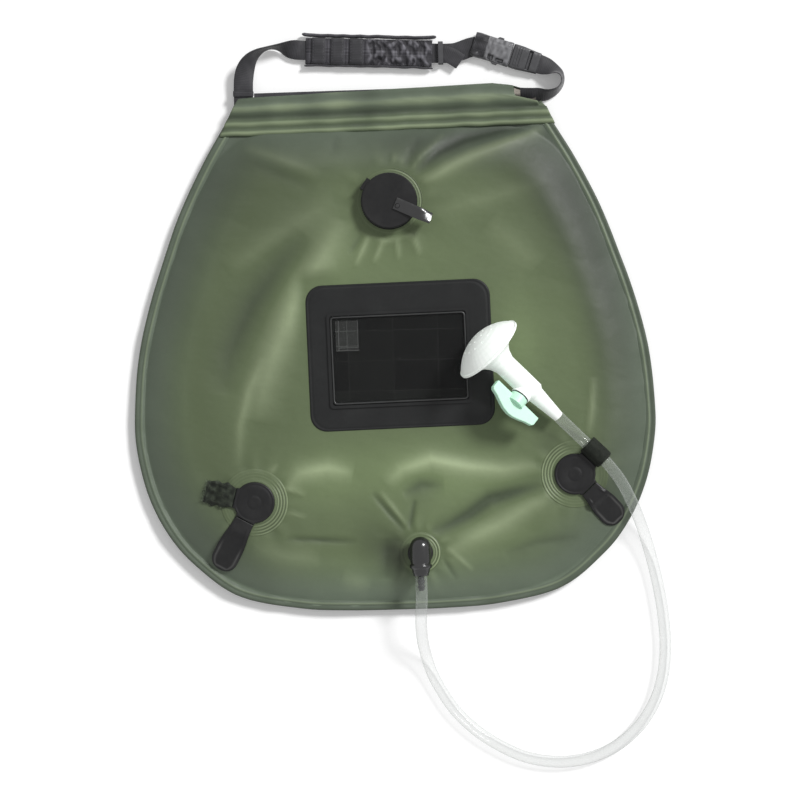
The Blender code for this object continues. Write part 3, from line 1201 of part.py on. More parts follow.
def build_hose(clear):
    start = OUTLET_AT @ Vector((0, -(OUTLET_SPOUT_REACH + GAP + COLLAR_THICKNESS + GAP), OUTLET_SPOUT_HEIGHT))
    end = HEAD_AT @ Vector((0, 0, HEAD_LENGTH + GAP))
    points = smooth_points([start, *HOSE_ROUTE, end], HOSE_STEP)
    curve = bpy.data.curves.new("hose", "CURVE")
    curve.dimensions = "3D"
    curve.bevel_depth = HOSE_DIAMETER / 2
    curve.bevel_resolution = 3
    curve.use_fill_caps = True
    spline = curve.splines.new("POLY")
    spline.points.add(len(points) - 1)
    for point, co in zip(spline.points, points):
        point.co = (*co, 1)
    hose = bpy.data.objects.new("hose", curve)
    curve.materials.append(clear)
    MODEL.objects.link(hose)


def build():
    clear_scene()
    olive = make_material("olive_fabric", OLIVE, 0.45)
    pale = make_material("weld_seam", PALE_OLIVE, 0.5)
    webbing = make_material("webbing", WEB_BLACK, 0.8)
    pad = make_material("grip_fabric", WEB_BLACK, 0.85)
    plastic = make_material("buckle_plastic", BUCKLE_BLACK, 0.4)
    rubber = make_material("black_rubber", RUBBER_BLACK, 0.5)
    label = make_material("label_vinyl", LABEL_BLACK, 0.45)
    strip_material = make_material("thermometer", RUBBER_BLACK, 0.25)
    white = make_material("head_plastic", HEAD_WHITE, 0.35)
    green = make_material("tap_plastic", TAP_GREEN, 0.35)
    clear = make_material("clear_vinyl", CLEAR, 0.1)
    build_bag(olive, pale)
    build_hem(olive, webbing)
    build_strap(webbing, pad, plastic)
    build_fill_valve(pale, rubber)
    build_label(label, label, clear, strip_material)
    build_outlet(pale, rubber)
    build_ties(pale, rubber)
    build_head(white, green, rubber)
    build_hose(clear)


build()
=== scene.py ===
# %% [markdown]
# # A camp shower bag
# A flat bag of coated fabric is filled through a wide cap, lies in the sun to warm, and hangs by
# its strap while water runs through a clear hose to a shower head. Each piece below is built in
# metres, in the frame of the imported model, so that it lies where the solids already are.

# %% Load the frame
import math

import bmesh
import bpy
import numpy as np
from mathutils import Matrix, Vector


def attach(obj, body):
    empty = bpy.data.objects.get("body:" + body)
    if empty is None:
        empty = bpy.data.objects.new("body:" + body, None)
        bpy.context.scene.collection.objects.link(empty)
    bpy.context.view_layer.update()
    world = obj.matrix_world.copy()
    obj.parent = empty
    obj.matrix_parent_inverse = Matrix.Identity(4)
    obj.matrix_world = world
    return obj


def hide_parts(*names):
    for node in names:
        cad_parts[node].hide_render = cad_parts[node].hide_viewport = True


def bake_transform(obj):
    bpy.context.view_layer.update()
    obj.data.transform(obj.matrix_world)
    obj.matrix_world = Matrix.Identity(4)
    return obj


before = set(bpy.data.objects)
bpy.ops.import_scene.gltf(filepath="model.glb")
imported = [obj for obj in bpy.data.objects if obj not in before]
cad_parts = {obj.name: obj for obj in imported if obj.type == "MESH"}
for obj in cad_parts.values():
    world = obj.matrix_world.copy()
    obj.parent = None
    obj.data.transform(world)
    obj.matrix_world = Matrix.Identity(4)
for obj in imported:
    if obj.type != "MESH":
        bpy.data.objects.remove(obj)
scene = bpy.context.scene
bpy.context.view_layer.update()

# %% [markdown]
# The photograph looks straight down on the bag. A camera could stand close with a wide lens, but
# that bends the sides, so a long lens stands far away and keeps the outline true. A small roll
# about the view's axis gives the lean that the bag has in the picture.

# %% Camera
VIEW_MIDDLE = (0.0055, -0.0410, 0.020)
VIEW_DISTANCE = 2.6
VIEW_WIDTH = 0.824
VIEW_LEAN = math.radians(-1.6)
SENSOR_MM = 36
camera_data = bpy.data.cameras.new("camera")
camera_data.sensor_width = SENSOR_MM
camera_data.lens = SENSOR_MM * VIEW_DISTANCE / VIEW_WIDTH
camera = bpy.data.objects.new("camera", camera_data)
camera.location = (VIEW_MIDDLE[0], VIEW_MIDDLE[1], VIEW_MIDDLE[2] + VIEW_DISTANCE)
camera.rotation_euler = (0, 0, VIEW_LEAN)
scene.collection.objects.link(camera)
scene.camera = camera
print("lens", round(camera_data.lens, 1), "mm")

# %% [markdown]
# The hose, the strap and the outline follow a few listed places. Straight lines between them would
# show corners, and a Bezier curve would need a handle at each place. A Catmull-Rom curve passes
# through every place by itself, and even steps along it give even meshes.


# %% A smooth line through chosen places
def run_along(line):
    """The distance from the start of a line to each of its points."""
    return np.r_[0, np.cumsum(np.linalg.norm(np.diff(line[:, :3], axis=0), axis=1))]


def smooth_route(places, step, fine=24):
    """Evenly spaced points on a smooth curve through the places; any number of columns."""
    p = np.array(places, float)
    p = np.vstack([2 * p[0] - p[1], p, 2 * p[-1] - p[-2]])
    t = np.linspace(0, 1, fine, endpoint=False)[:, None]
    runs = []
    for a, b, c, d in zip(p, p[1:], p[2:], p[3:]):
        runs.append(0.5 * (2 * b + (c - a) * t + (2 * a - 5 * b + 4 * c - d) * t * t
                           + (3 * b - a - 3 * c + d) * t ** 3))
    line = np.vstack(runs + [p[-2:-1]])
    run = run_along(line)
    even = np.linspace(0, run[-1], max(2, round(run[-1] / step)) + 1)
    return np.column_stack([np.interp(even, run, column) for column in line.T])


print("points on a metre", len(smooth_route([(0, 0, 0), (0, 0, 1)], 0.01)))


# %% [markdown]
# The hose is a soft clear tube. It leaves the outlet level, sags to the ground, runs in one wide
# loop beside the bag, and comes back over the rim and through a tie to the shower head. It could
# be a mesh of rings, but a curve with a round bevel keeps its thickness the same everywhere. The
# bevel is 1 and each point's radius is the hose's own, because a curve's box takes in the radius
# of its points.

# %% Clear hose
HOSE_DIAMETER, HOSE_STEP = 0.012, 0.004
HOSE_ROUTE = (
    (0.0221, -0.2210, 0.0430), (0.0221, -0.2440, 0.0430), (0.0212, -0.2590, 0.0414),
    (0.0208, -0.2740, 0.0361), (0.0222, -0.2910, 0.0245), (0.0258, -0.3080, 0.0131),
    (0.0305, -0.3230, 0.0078), (0.0385, -0.3400, 0.0062), (0.0540, -0.3640, 0.0062),
    (0.0750, -0.3850, 0.0062), (0.0990, -0.4015, 0.0062), (0.1270, -0.4145, 0.0062),
    (0.1590, -0.4200, 0.0062), (0.1900, -0.4170, 0.0062), (0.2180, -0.4060, 0.0062),
    (0.2420, -0.3870, 0.0062), (0.2590, -0.3630, 0.0062), (0.2690, -0.3360, 0.0062),
    (0.2730, -0.3060, 0.0062), (0.2720, -0.2750, 0.0062), (0.2680, -0.2440, 0.0062),
    (0.2615, -0.2130, 0.0072), (0.2530, -0.1830, 0.0130), (0.2425, -0.1560, 0.0235),
    (0.2300, -0.1310, 0.0335), (0.2157, -0.1115, 0.0370), (0.2043, -0.1001, 0.0370),
    (0.1924, -0.0882, 0.0370), (0.1811, -0.0769, 0.0388), (0.1668, -0.0626, 0.0438),
)
hose_line = smooth_route(HOSE_ROUTE, HOSE_STEP)
hose_curve = bpy.data.curves.new("clear_hose", "CURVE")
hose_curve.dimensions = "3D"
hose_curve.bevel_depth = 1.0
hose_curve.bevel_resolution = 6
hose_spline = hose_curve.splines.new("POLY")
hose_spline.points.add(len(hose_line) - 1)
for point, place in zip(hose_spline.points, hose_line):
    point.co, point.radius = (*place, 1), HOSE_DIAMETER / 2
hose = bpy.data.objects.new("clear_hose", hose_curve)
scene.collection.objects.link(hose)
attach(hose, "bag")
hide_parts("hose")

# %% [markdown]
# Most soft pieces are grids of points: rows of a sheet, or cross sections along a strip. Modelling
# by hand would lose the measures, so one helper turns such a grid into a mesh. It can add a map in
# metres that threads and ribs follow, and a second helper turns every face outwards.


# %% A mesh from a grid of points
def grid_mesh(name, points, wrap=False, caps=False, u=None, v=None):
    """A mesh of quads; wrap closes each row, caps close both ends, u and v are the map in metres."""
    rows, columns = points.shape[:2]
    r, c = np.meshgrid(np.arange(rows - 1), np.arange(columns if wrap else columns - 1), indexing="ij")
    n = (c + 1) % columns
    here, above = r * columns, (r + 1) * columns
    faces = np.stack([here + c, here + n, above + n, above + c], -1).reshape(-1, 4).tolist()
    if caps:
        faces.append(list(range(columns))[::-1])
        faces.append(list(range((rows - 1) * columns, rows * columns)))
    mesh = bpy.data.meshes.new(name)
    mesh.from_pydata(points.reshape(-1, 3).tolist(), [], faces)
    if u is not None:
        r, c = r.ravel(), c.ravel()
        corners = np.stack([np.stack([u[c + i], v[r + j]], -1)
                            for i, j in ((0, 0), (1, 0), (1, 1), (0, 1))], 1)
        flat = np.zeros((len(mesh.loops), 2))
        flat[:corners.size // 2] = corners.reshape(-1, 2)
        mesh.uv_layers.new(name="metres").data.foreach_set("uv", flat.ravel())
    return mesh


def tidy_mesh(mesh):
    """Turns every face outwards and drops doubled points."""
    work = bmesh.new()
    work.from_mesh(mesh)
    bmesh.ops.remove_doubles(work, verts=work.verts, dist=1e-6)
    bmesh.ops.recalc_face_normals(work, faces=work.faces)
    work.to_mesh(mesh)
    work.free()
    return mesh


# %% [markdown]
# Each finished mesh becomes a piece of the bag: it is shaded smooth, takes a material, rides on its
# body, and hides the plain solid that it stands for. One function does all of it, so that no piece
# misses a step. Masks are stored as one number for each point.


# %% A piece of the object
def mark(mesh, **values):
    """Stores one number per point, which materials read as a mask."""
    for name, numbers in values.items():
        layer = mesh.attributes.new(name, "FLOAT", "POINT").data
        layer.foreach_set("value", np.ravel(numbers).astype(np.float32))


def add_piece(name, mesh, material, body, stands_for=(), sharp=None):
    """The piece of this mesh; sharp is the angle in degrees past which an edge stays sharp."""
    obj = bpy.data.objects.new(name, mesh)
    scene.collection.objects.link(obj)
    mesh.materials.append(material)
    mesh.polygons.foreach_set("use_smooth", [True] * len(mesh.polygons))
    if sharp is not None:
        mesh.set_sharp_from_angle(angle=math.radians(sharp))
    if body:
        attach(obj, body)
    if stands_for:
        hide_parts(*stands_for)
    return obj


def turned(name, profile, steps=96):
    """A mesh turned round the Z axis from a profile of radius and height."""
    angle = np.linspace(0, 2 * np.pi, steps, endpoint=False)
    profile = np.array(profile, float)
    radius, height = profile[:, :1], np.repeat(profile[:, 1:], steps, 1)
    points = np.stack([radius * np.cos(angle), radius * np.sin(angle), height], -1)
    return tidy_mesh(grid_mesh(name, points, wrap=True))


# %% [markdown]
# Every material is made of nodes. Written out in full, each takes dozens of lines, so these short
# helpers add a node, fill its sockets and wire it in one line, and a material reads like a recipe.


# %% Short ways to write nodes
def add_node(tree, kind, inputs=(), **settings):
    node = tree.nodes.new(kind)
    for key, value in settings.items():
        setattr(node, key, value)
    for key, value in dict(inputs).items():
        if isinstance(value, bpy.types.NodeSocket):
            tree.links.new(value, node.inputs[key])
        else:
            node.inputs[key].default_value = value
    return node


def maths(tree, operation, *values):
    return add_node(tree, "ShaderNodeMath", dict(enumerate(values)), operation=operation).outputs[0]


def times(tree, a, b):
    return maths(tree, "MULTIPLY", a, b)


def mixed(tree, factor, a, b):
    return add_node(tree, "ShaderNodeMix", {0: factor, 6: a, 7: b}, data_type="RGBA").outputs[2]


def shaded(tree, colour, value):
    return add_node(tree, "ShaderNodeHueSaturation", {"Color": colour, "Value": value}).outputs[0]


def masked(tree, name):
    return add_node(tree, "ShaderNodeAttribute", attribute_name=name).outputs["Fac"]


def bumped(tree, height, distance, strength, normal=None):
    inputs = {"Height": height, "Distance": distance, "Strength": strength}
    if normal is not None:
        inputs["Normal"] = normal
    return add_node(tree, "ShaderNodeBump", inputs).outputs[0]


def wire(tree, socket, value):
    tree.links.new(value, socket)


# %% [markdown]
# An effect that several materials share is a node group: built once, with named sockets, and
# placed in each material with its own values. Copies of the same nodes would drift apart.


# %% Effects as node groups
def effect(name, inputs, outputs):
    """A node group with named sockets; an input is a number, or a vector where it has no default."""
    tree = bpy.data.node_groups.new(name, "ShaderNodeTree")
    for socket, value in inputs.items():
        kind = "NodeSocketVector" if value is None else "NodeSocketFloat"
        made = tree.interface.new_socket(socket, in_out="INPUT", socket_type=kind)
        if value is not None:
            made.default_value = value
    for socket in outputs:
        tree.interface.new_socket(socket, in_out="OUTPUT", socket_type="NodeSocketFloat")
    return tree, tree.nodes.new("NodeGroupInput").outputs, tree.nodes.new("NodeGroupOutput").inputs


def placed(tree, group, **inputs):
    """An effect placed in a material with its own values."""
    return add_node(tree, "ShaderNodeGroup", inputs, node_tree=group).outputs


# %% [markdown]
# Handled things are never one even colour. A painted map could give their clouds, but noise needs
# no picture and has no seams. The mottling effect gives a soft brightness change of any size, and
# a mask that roughness can follow too.

# %% Effect: mottling
mottling, taken, given = effect("mottling", {"Place": None, "Size": 0.02, "Amount": 0.1}, ["Shade", "Mask"])
cloud = add_node(mottling, "ShaderNodeTexNoise", {
    "Vector": taken["Place"], "Scale": maths(mottling, "DIVIDE", 1.0, taken["Size"]),
    "Detail": 3.0, "Roughness": 0.55}).outputs["Fac"]
spread = times(mottling, maths(mottling, "SUBTRACT", cloud, 0.5), 3.0)
wire(mottling, given["Shade"], maths(mottling, "MULTIPLY_ADD", spread, taken["Amount"], 1.0))
wire(mottling, given["Mask"], cloud)
print("effect", mottling.name)

# %% [markdown]
# Coated fabric still shows its threads. Modelling them would take millions of faces, so they are a
# bump. In a plain weave each thread passes over one and under the next, so a checker decides
# whether the warp or the weft is on top.

# %% Effect: plain weave
weave, taken, given = effect("plain weave", {"Place": None, "Thread": 0.0008}, ["Height"])
per_metre = maths(weave, "DIVIDE", 1.0, taken["Thread"])
axes = add_node(weave, "ShaderNodeSeparateXYZ", {0: taken["Place"]}).outputs
turns = [times(weave, times(weave, axis, per_metre), math.pi) for axis in axes[:2]]
warp, weft = [maths(weave, "ABSOLUTE", maths(weave, "SINE", turn)) for turn in turns]
over = add_node(weave, "ShaderNodeTexChecker", {"Vector": taken["Place"], "Scale": per_metre}).outputs["Fac"]
top_thread = add_node(weave, "ShaderNodeMix", {0: over, 2: warp, 3: weft}, data_type="FLOAT")
wire(weave, given["Height"], top_thread.outputs[0])
print("effect", weave.name)

# %% [markdown]
# Coated and moulded surfaces carry a fine grain from their tools. It is a small bump of noise,
# which breaks up highlights.

# %% Effect: fine grain
grain, taken, given = effect("fine grain", {"Place": None, "Size": 0.001}, ["Height"])
specks = add_node(grain, "ShaderNodeTexNoise", {
    "Vector": taken["Place"], "Scale": maths(grain, "DIVIDE", 1.0, taken["Size"]), "Detail": 2.0})
wire(grain, given["Height"], specks.outputs["Fac"])
print("effect", grain.name)

# %% [markdown]
# A new material starts with the Principled shader. Values that are the same all over stay on the
# shader's own sockets. Every finish on the bag then ends alike: two mottlings, one broad and one
# close, change its brightness, and the close one also changes how rough it is.


# %% Start and end of a material
def start_material(name, **constants):
    material = bpy.data.materials.new(name)
    material.use_nodes = True
    tree = material.node_tree
    shader = tree.nodes["Principled BSDF"]
    for key, value in constants.items():
        shader.inputs[key.replace("_", " ")].default_value = value
    place = add_node(tree, "ShaderNodeTexCoord").outputs["Object"]
    return material, tree, shader.inputs, place


def two_mottlings(tree, place, broad, close):
    """The masks of a broad and a close mottling, each given as size and amount, and their shade."""
    broad, close = [placed(tree, mottling, Place=place, Size=size, Amount=amount)
                    for size, amount in (broad, close)]
    return broad["Mask"], close["Mask"], times(tree, broad["Shade"], close["Shade"])


def end_material(tree, sockets, colour, shade, mask, roughness, spread, normal):
    """Wires colour and shade, a roughness that spreads with the mask, and the normal."""
    wire(tree, sockets["Base Color"], shaded(tree, colour, shade))
    wire(tree, sockets["Roughness"], maths(tree, "MULTIPLY_ADD", mask, spread, roughness - spread / 2))
    wire(tree, sockets["Normal"], normal)


print("effects", len(bpy.data.node_groups))

# %% [markdown]
# The bag is woven polyester with a smooth olive coating. It is greyer towards the rim. Its colour also
# carries painted light: a painted highlight on the crests of folds and painted shade in their valleys,
# which a plain colour would leave to the lamps alone. Three masks on the meshes say where: pale for
# the rim, tone for the painted highlight and shade of crests and valleys, and shade for broad areas
# of painted light and shade. The weave and a fine crinkle give highlights their broken edge.

# %% Material: olive coated fabric
# The crest and valley colours are a painted highlight on the crests of folds and painted shade in their
# valleys.
RIM_GREY, PAINTED_CREST_HIGHLIGHT, PAINTED_VALLEY_SHADE = (0.098, 0.126, 0.088, 1), (0.31, 0.37, 0.22, 1), (0.022, 0.032, 0.018, 1)
CREST_STRENGTH, VALLEY_STRENGTH = 0.75, 0.85
THREAD, CRINKLE = 0.0011, 0.016


def olive_material(name, base, roughness):
    material, tree, sockets, place = start_material(name, Specular_IOR_Level=0.42, Sheen_Weight=0.06)
    # The tone mask paints fold crests lighter and valleys darker, and the shade mask paints broad light and
    # shade.
    tone = masked(tree, "tone")
    crest, valley = maths(tree, "MAXIMUM", tone, 0.0), maths(tree, "MAXIMUM", times(tree, tone, -1.0), 0.0)
    cloth = mixed(tree, masked(tree, "pale"), base, RIM_GREY)
    cloth = mixed(tree, times(tree, crest, CREST_STRENGTH), cloth, PAINTED_CREST_HIGHLIGHT)
    cloth = mixed(tree, times(tree, valley, VALLEY_STRENGTH), cloth, PAINTED_VALLEY_SHADE)
    _, close, light = two_mottlings(tree, place, (0.060, 0.06), (0.005, 0.035))
    light = times(tree, maths(tree, "ADD", masked(tree, "shade"), 1.0), light)
    slanted = add_node(tree, "ShaderNodeMapping", {
        "Vector": place, "Rotation": (0, 0, 0.6), "Scale": (1, 1.5, 1)}).outputs[0]
    crinkle = placed(tree, grain, Place=slanted, Size=CRINKLE)["Height"]
    threads = placed(tree, weave, Place=place, Thread=THREAD)["Height"]
    end_material(tree, sockets, cloth, light, close, roughness, 0.16,
                 bumped(tree, threads, 0.00010, 0.5, bumped(tree, crinkle, 0.0012, 0.30)))
    return material


olive_fabric = olive_material("olive_fabric", (0.095, 0.128, 0.058, 1), roughness=0.50)
weld_fabric = olive_material("weld_fabric", (0.105, 0.140, 0.066, 1), roughness=0.44)
print("fabrics", olive_fabric.name, weld_fabric.name)

# %% [markdown]
# The bag's outline is given by places on its right half, as shares of half the width and of the
# height. Tracing both halves would let them differ, so the left half mirrors the right one. The
# top edge is straight.

# %% Outline of the bag
HALF_WIDTH, PANEL_TOP, PANEL_HEIGHT = 0.269, 0.250, 0.5075
MIDDLE = np.array((0.0, -0.010))
RIM_STEP, TOP_POINTS = 0.0023, 64
OUTLINE_SHARES = (
    (0.620, 0.000), (0.717, 0.087), (0.807, 0.183), (0.877, 0.282), (0.937, 0.379),
    (0.980, 0.477), (0.998, 0.574), (0.997, 0.655), (0.957, 0.753), (0.884, 0.834),
    (0.783, 0.899), (0.618, 0.964), (0.385, 0.992), (0.190, 0.999), (0.000, 1.000),
)
right_half = [(a * HALF_WIDTH, PANEL_TOP - d * PANEL_HEIGHT, 0) for a, d in OUTLINE_SHARES]
left_half = [(-x, y, z) for x, y, z in right_half[-2::-1]]
rim_line = smooth_route(right_half + left_half, RIM_STEP)[:, :2]
top_line = np.linspace(rim_line[-1], rim_line[0], TOP_POINTS)[1:-1]
outline = np.vstack([rim_line, top_line])
spokes = outline - MIDDLE
print("rim", round(run_along(rim_line)[-1], 3), "m,", len(outline), "points")

# %% [markdown]
# The filled bag rises from its flat rim to a nearly level middle. A cloth simulation could blow it
# up, but its folds would not be the photographed ones. So each place on the bag gets a share, 0 in
# the middle and 1 on the rim, and heights are worked out from it. The slope uses a second share
# with the corners rounded off, as the air in a real bag does.


# %% How far out a place lies
def bearing_of(x, y):
    return np.arctan2(y - MIDDLE[1], x - MIDDLE[0])


spoke_bearing = bearing_of(*outline.T)
spoke_order = np.argsort(spoke_bearing)


def share_at(x, y):
    """How far out a place lies, as a share of the way from the middle to the rim."""
    reach = np.interp(bearing_of(x, y), spoke_bearing[spoke_order], np.hypot(*spokes[spoke_order].T),
                      period=2 * np.pi)
    return np.hypot(x - MIDDLE[0], y - MIDDLE[1]) / reach


BELL_STEPS = 61
round_bearing = np.linspace(-np.pi, np.pi, 720, endpoint=False)
round_reach = 1 / share_at(MIDDLE[0] + np.cos(round_bearing), MIDDLE[1] + np.sin(round_bearing))
bell = np.hanning(BELL_STEPS)
round_reach = np.convolve(np.pad(round_reach, BELL_STEPS // 2, mode="wrap"), bell / bell.sum(), "valid")


def slope_share(x, y):
    """The same share with the corners rounded off, for the slope from the rim to the level part."""
    reach = np.interp(bearing_of(x, y), round_bearing, round_reach, period=2 * np.pi)
    return np.maximum(np.hypot(x - MIDDLE[0], y - MIDDLE[1]) / reach, share_at(x, y))


print("reach", round(float(round_reach.min()), 3), "to", round(float(round_reach.max()), 3), "m")

# %% [markdown]
# Folds give the fabric its look. Sculpting them by hand can't be repeated, so each is a line in
# millimetres, read from the photograph, with a width and a height. It dies away to the sides and
# at both ends. Between the folds a smooth random surface crumples the cloth a little.


# %% Folds in the fabric
def ease(t):
    t = np.clip(t, 0, 1)
    return t * t * (3 - 2 * t)


FOLD_FALL, TAPER_FALL = 1.5, 0.6


def fold(x, y, places, width, height):
    """Height in metres of one fold, whose places, width and height are in millimetres."""
    places = np.array(places, float) / 1000
    nearest, along, run = np.full(np.shape(x), 9.0), np.zeros(np.shape(x)), 0.0
    for a, b in zip(places, places[1:]):
        d = b - a
        t = np.clip(((x - a[0]) * d[0] + (y - a[1]) * d[1]) / (d @ d), 0, 1)
        gap = np.hypot(x - a[0] - t * d[0], y - a[1] - t * d[1])
        along = np.where(gap < nearest, run + t * np.linalg.norm(d), along)
        nearest = np.minimum(gap, nearest)
        run += np.linalg.norm(d)
    taper = np.sin(np.pi * np.clip(along / run, 0.0, 1.0)) ** TAPER_FALL
    return height / 1000 * taper * np.exp(-(nearest * 1000 / width) ** FOLD_FALL)


def waves(x, y, size, seed, count=9):
    """A smooth random surface between about -1 and 1, with bumps of the given size."""
    rng = np.random.default_rng(seed)
    total = np.zeros(np.shape(x))
    for _ in range(count):
        heading, turn, scale = rng.uniform(0, np.pi), rng.uniform(0, 2 * np.pi), rng.uniform(0.7, 1.5)
        across = x * math.cos(heading) + y * math.sin(heading)
        total = total + np.cos(across * np.pi / (size * scale) + turn)
    return total / math.sqrt(count)


FOLDS = (  # places along each fold in millimetres, its width and its height
    ([(27, 176), (63, 196), (88, 208), (124, 222), (162, 236)], 6.5, 3.3),
    ([(27, 188), (33, 197), (52, 213), (78, 226), (112, 234), (150, 239)], 7, -3.6),
    ([(22, 191), (35, 209), (51, 224), (60, 233)], 3.2, 1.8),
    ([(16, 197), (27, 217), (35, 231)], 3.5, -1.4), ([(4, 196), (8, 214)], 2.0, 0.9),
    ([(12, 196), (19, 211)], 2.0, 0.9), ([(-52, 235), (-56, 211)], 3.0, -0.8),
    ([(-50, 146), (-66, 114), (-90, 77), (-108, 44), (-122, 12), (-134, -22), (-142, -60)], 15, 2.7),
    ([(-134, 7), (-150, -27), (-160, -64), (-163, -105)], 5, 1.4),
    ([(-86, 132), (-116, 98), (-144, 60), (-168, 12), (-176, -30)], 14, -2.0),
    ([(-168, 96), (-112, 134), (-56, 165)], 12, 1.0), ([(-148, 224), (-111, 209), (-70, 191)], 6, 1.0),
    ([(-158, 214), (-118, 196), (-74, 178)], 7, -0.8), ([(-22, 128), (-37, 97)], 2.4, 1.5),
    ([(-29, 130), (-42, 111)], 2.4, -1.2), ([(-7, 124), (-18, 100)], 2.2, 1.3),
    ([(-22, 130), (-4, 123), (28, 131)], 3.0, 1.8), ([(7, 125), (8, 103)], 2.2, 1.1),
    ([(24, 126), (30, 106)], 2.4, 1.1), ([(-114, -126), (-100, -114), (-72, -110), (-45, -116)], 8.5, 2.0),
    ([(-116, -180), (-43, -185)], 2.2, -2.0), ([(-150, -188), (-116, -199), (-81, -202)], 11, 0.8),
    ([(-26, -135), (-11, -154), (7, -175)], 2.2, -1.9), ([(-18, -134), (11, -173)], 2.0, 1.2),
    ([(18, -143), (11, -174)], 2.8, -1.8),
    ([(-12, -128), (5, -113), (35, -104), (72, -112), (110, -116), (144, -112)], 8.0, 2.6),
    ([(6, -139), (24, -129), (48, -130)], 6, -1.5),
    ([(33, -179), (52, -171), (72, -161), (94, -146), (125, -138), (152, -132)], 7, -3.5),
    ([(48, -199), (77, -184), (108, -170), (136, -153), (161, -149)], 10, 2.0),
    ([(108, -202), (142, -191), (187, -187)], 6, -1.3), ([(42, -200), (59, -228)], 2.2, -1.2),
    ([(49, -194), (76, -219)], 2.2, 0.9), ([(204, -23), (202, -54), (197, -86)], 3.2, 1.5),
    ([(-12, -182), (-13, -226)], 9, -2.0), ([(-124, -125), (-93, -136)], 2.0, 1.0),
    ([(-121, -151), (-94, -159)], 2.0, 0.9), ([(-134, -120), (-123, -103)], 2.4, 1.0),
    ([(100, 138), (150, 92)], 14, 0.8), ([(45, 150), (110, 165), (165, 180)], 9, 0.7),
    ([(-60, -222), (-30, -231)], 9, 0.6),
)
print("folds", len(FOLDS))

# %% [markdown]
# Welded fittings hold the fabric flat under them, and it puckers in short spokes just outside.
# A keep-flat mask goes from 0 on a fitting to 1 a little way off, so one height formula serves
# the whole front and every piece that lies on it.

# %% Places of the fittings
FILL_VALVE, OUTLET = (0.0, 0.163), (0.0221, -0.1983)
TIE_LEFT, TIE_RIGHT = (-0.1467, -0.1419), (0.1827, -0.1218)
LABEL_MIDDLE, LABEL_TURN = (0.007, 0.005), math.radians(1)
LABEL_HALF_WIDTH, LABEL_HALF_DEPTH = 0.0955, 0.0765
HELD_FLAT = ((FILL_VALVE, 0.0355), (OUTLET, 0.0200), (TIE_LEFT, 0.0300), (TIE_RIGHT, 0.0300))
PUCKER_HEIGHT, PUCKER_REACH = 0.00032, 0.011


def loose(x, y):
    """0 where a fitting or the label holds the fabric flat, 1 where it is free."""
    past_side = np.maximum(abs(x - LABEL_MIDDLE[0]) - LABEL_HALF_WIDTH, 0)
    past_end = np.maximum(abs(y - LABEL_MIDDLE[1]) - LABEL_HALF_DEPTH, 0)
    free = ease(np.hypot(past_side, past_end) / 0.018)
    for place, radius in HELD_FLAT:
        free = free * ease((np.hypot(x - place[0], y - place[1]) - radius) / 0.008)
    return free


def puckers(x, y):
    """Height of the short spokes round each fitting."""
    total = np.zeros(np.shape(x))
    for index, (place, radius) in enumerate(HELD_FLAT):
        angle = np.arctan2(y - place[1], x - place[0])
        out = np.hypot(x - place[0], y - place[1]) - radius
        spokes_round = sum(np.cos(n * angle + index * 1.7 + n) for n in (7, 11, 16))
        total = total + PUCKER_HEIGHT * spokes_round * np.exp(-np.maximum(out, 0) / PUCKER_REACH)
    return total


print("fittings", len(HELD_FLAT))


# %% [markdown]
# The height of the front adds up from the slope, the folds, the puckers and the crumpling, and
# the thin rim flutters slightly up and down along its length. It could be painted as a displacement
# map, but discs, tongues and the front have to lie on the same surface, so one function gives it.

# %% Height of the front
SLOPE_START, SLOPE_WIDTH = 0.962, 0.162
RIM_HEIGHT, FRONT_RISE = 0.0115, 0.0185
DIP_PLACE, DIP_DEPTH, DIP_RADIUS = (0.023, -0.135), 0.0008, 0.017


def slope_rise(x, y):
    """0 on the rim and 1 on the level part."""
    return np.sin(np.clip((SLOPE_START - slope_share(x, y)) / SLOPE_WIDTH, 0, 1) * np.pi / 2)


def off_rim(share):
    """0 on the rim and 1 a little inside it."""
    return ease((0.985 - share) / 0.05)


def flutter(x, y):
    """The rise and fall of the thin rim along its length."""
    bearing = bearing_of(x, y)
    return 0.00024 * sum(np.cos(n * bearing + n * n) for n in (4, 7, 11, 17, 26, 41))


def rim_flutter(x, y, share):
    """The same, dying away inwards."""
    return flutter(x, y) * ease((share - 0.88) / 0.1)


def front_parts(x, y):
    """Height of the front, of its folds alone, and the share."""
    share = share_at(x, y)
    dip = DIP_DEPTH * np.exp(-((x - DIP_PLACE[0]) ** 2 + (y - DIP_PLACE[1]) ** 2) / DIP_RADIUS ** 2)
    folds = sum(fold(x, y, *line) for line in FOLDS) - dip + puckers(x, y)
    crumple = 0.0006 * waves(x, y, 0.060, 3) + 0.00022 * (abs(waves(x, y, 0.030, 8)) - 0.7)
    free = loose(x, y) * off_rim(share)
    height = RIM_HEIGHT + FRONT_RISE * slope_rise(x, y) + free * (folds + crumple)
    return height + rim_flutter(x, y, share), free * folds, share


print("level part", RIM_HEIGHT + FRONT_RISE, "m high")
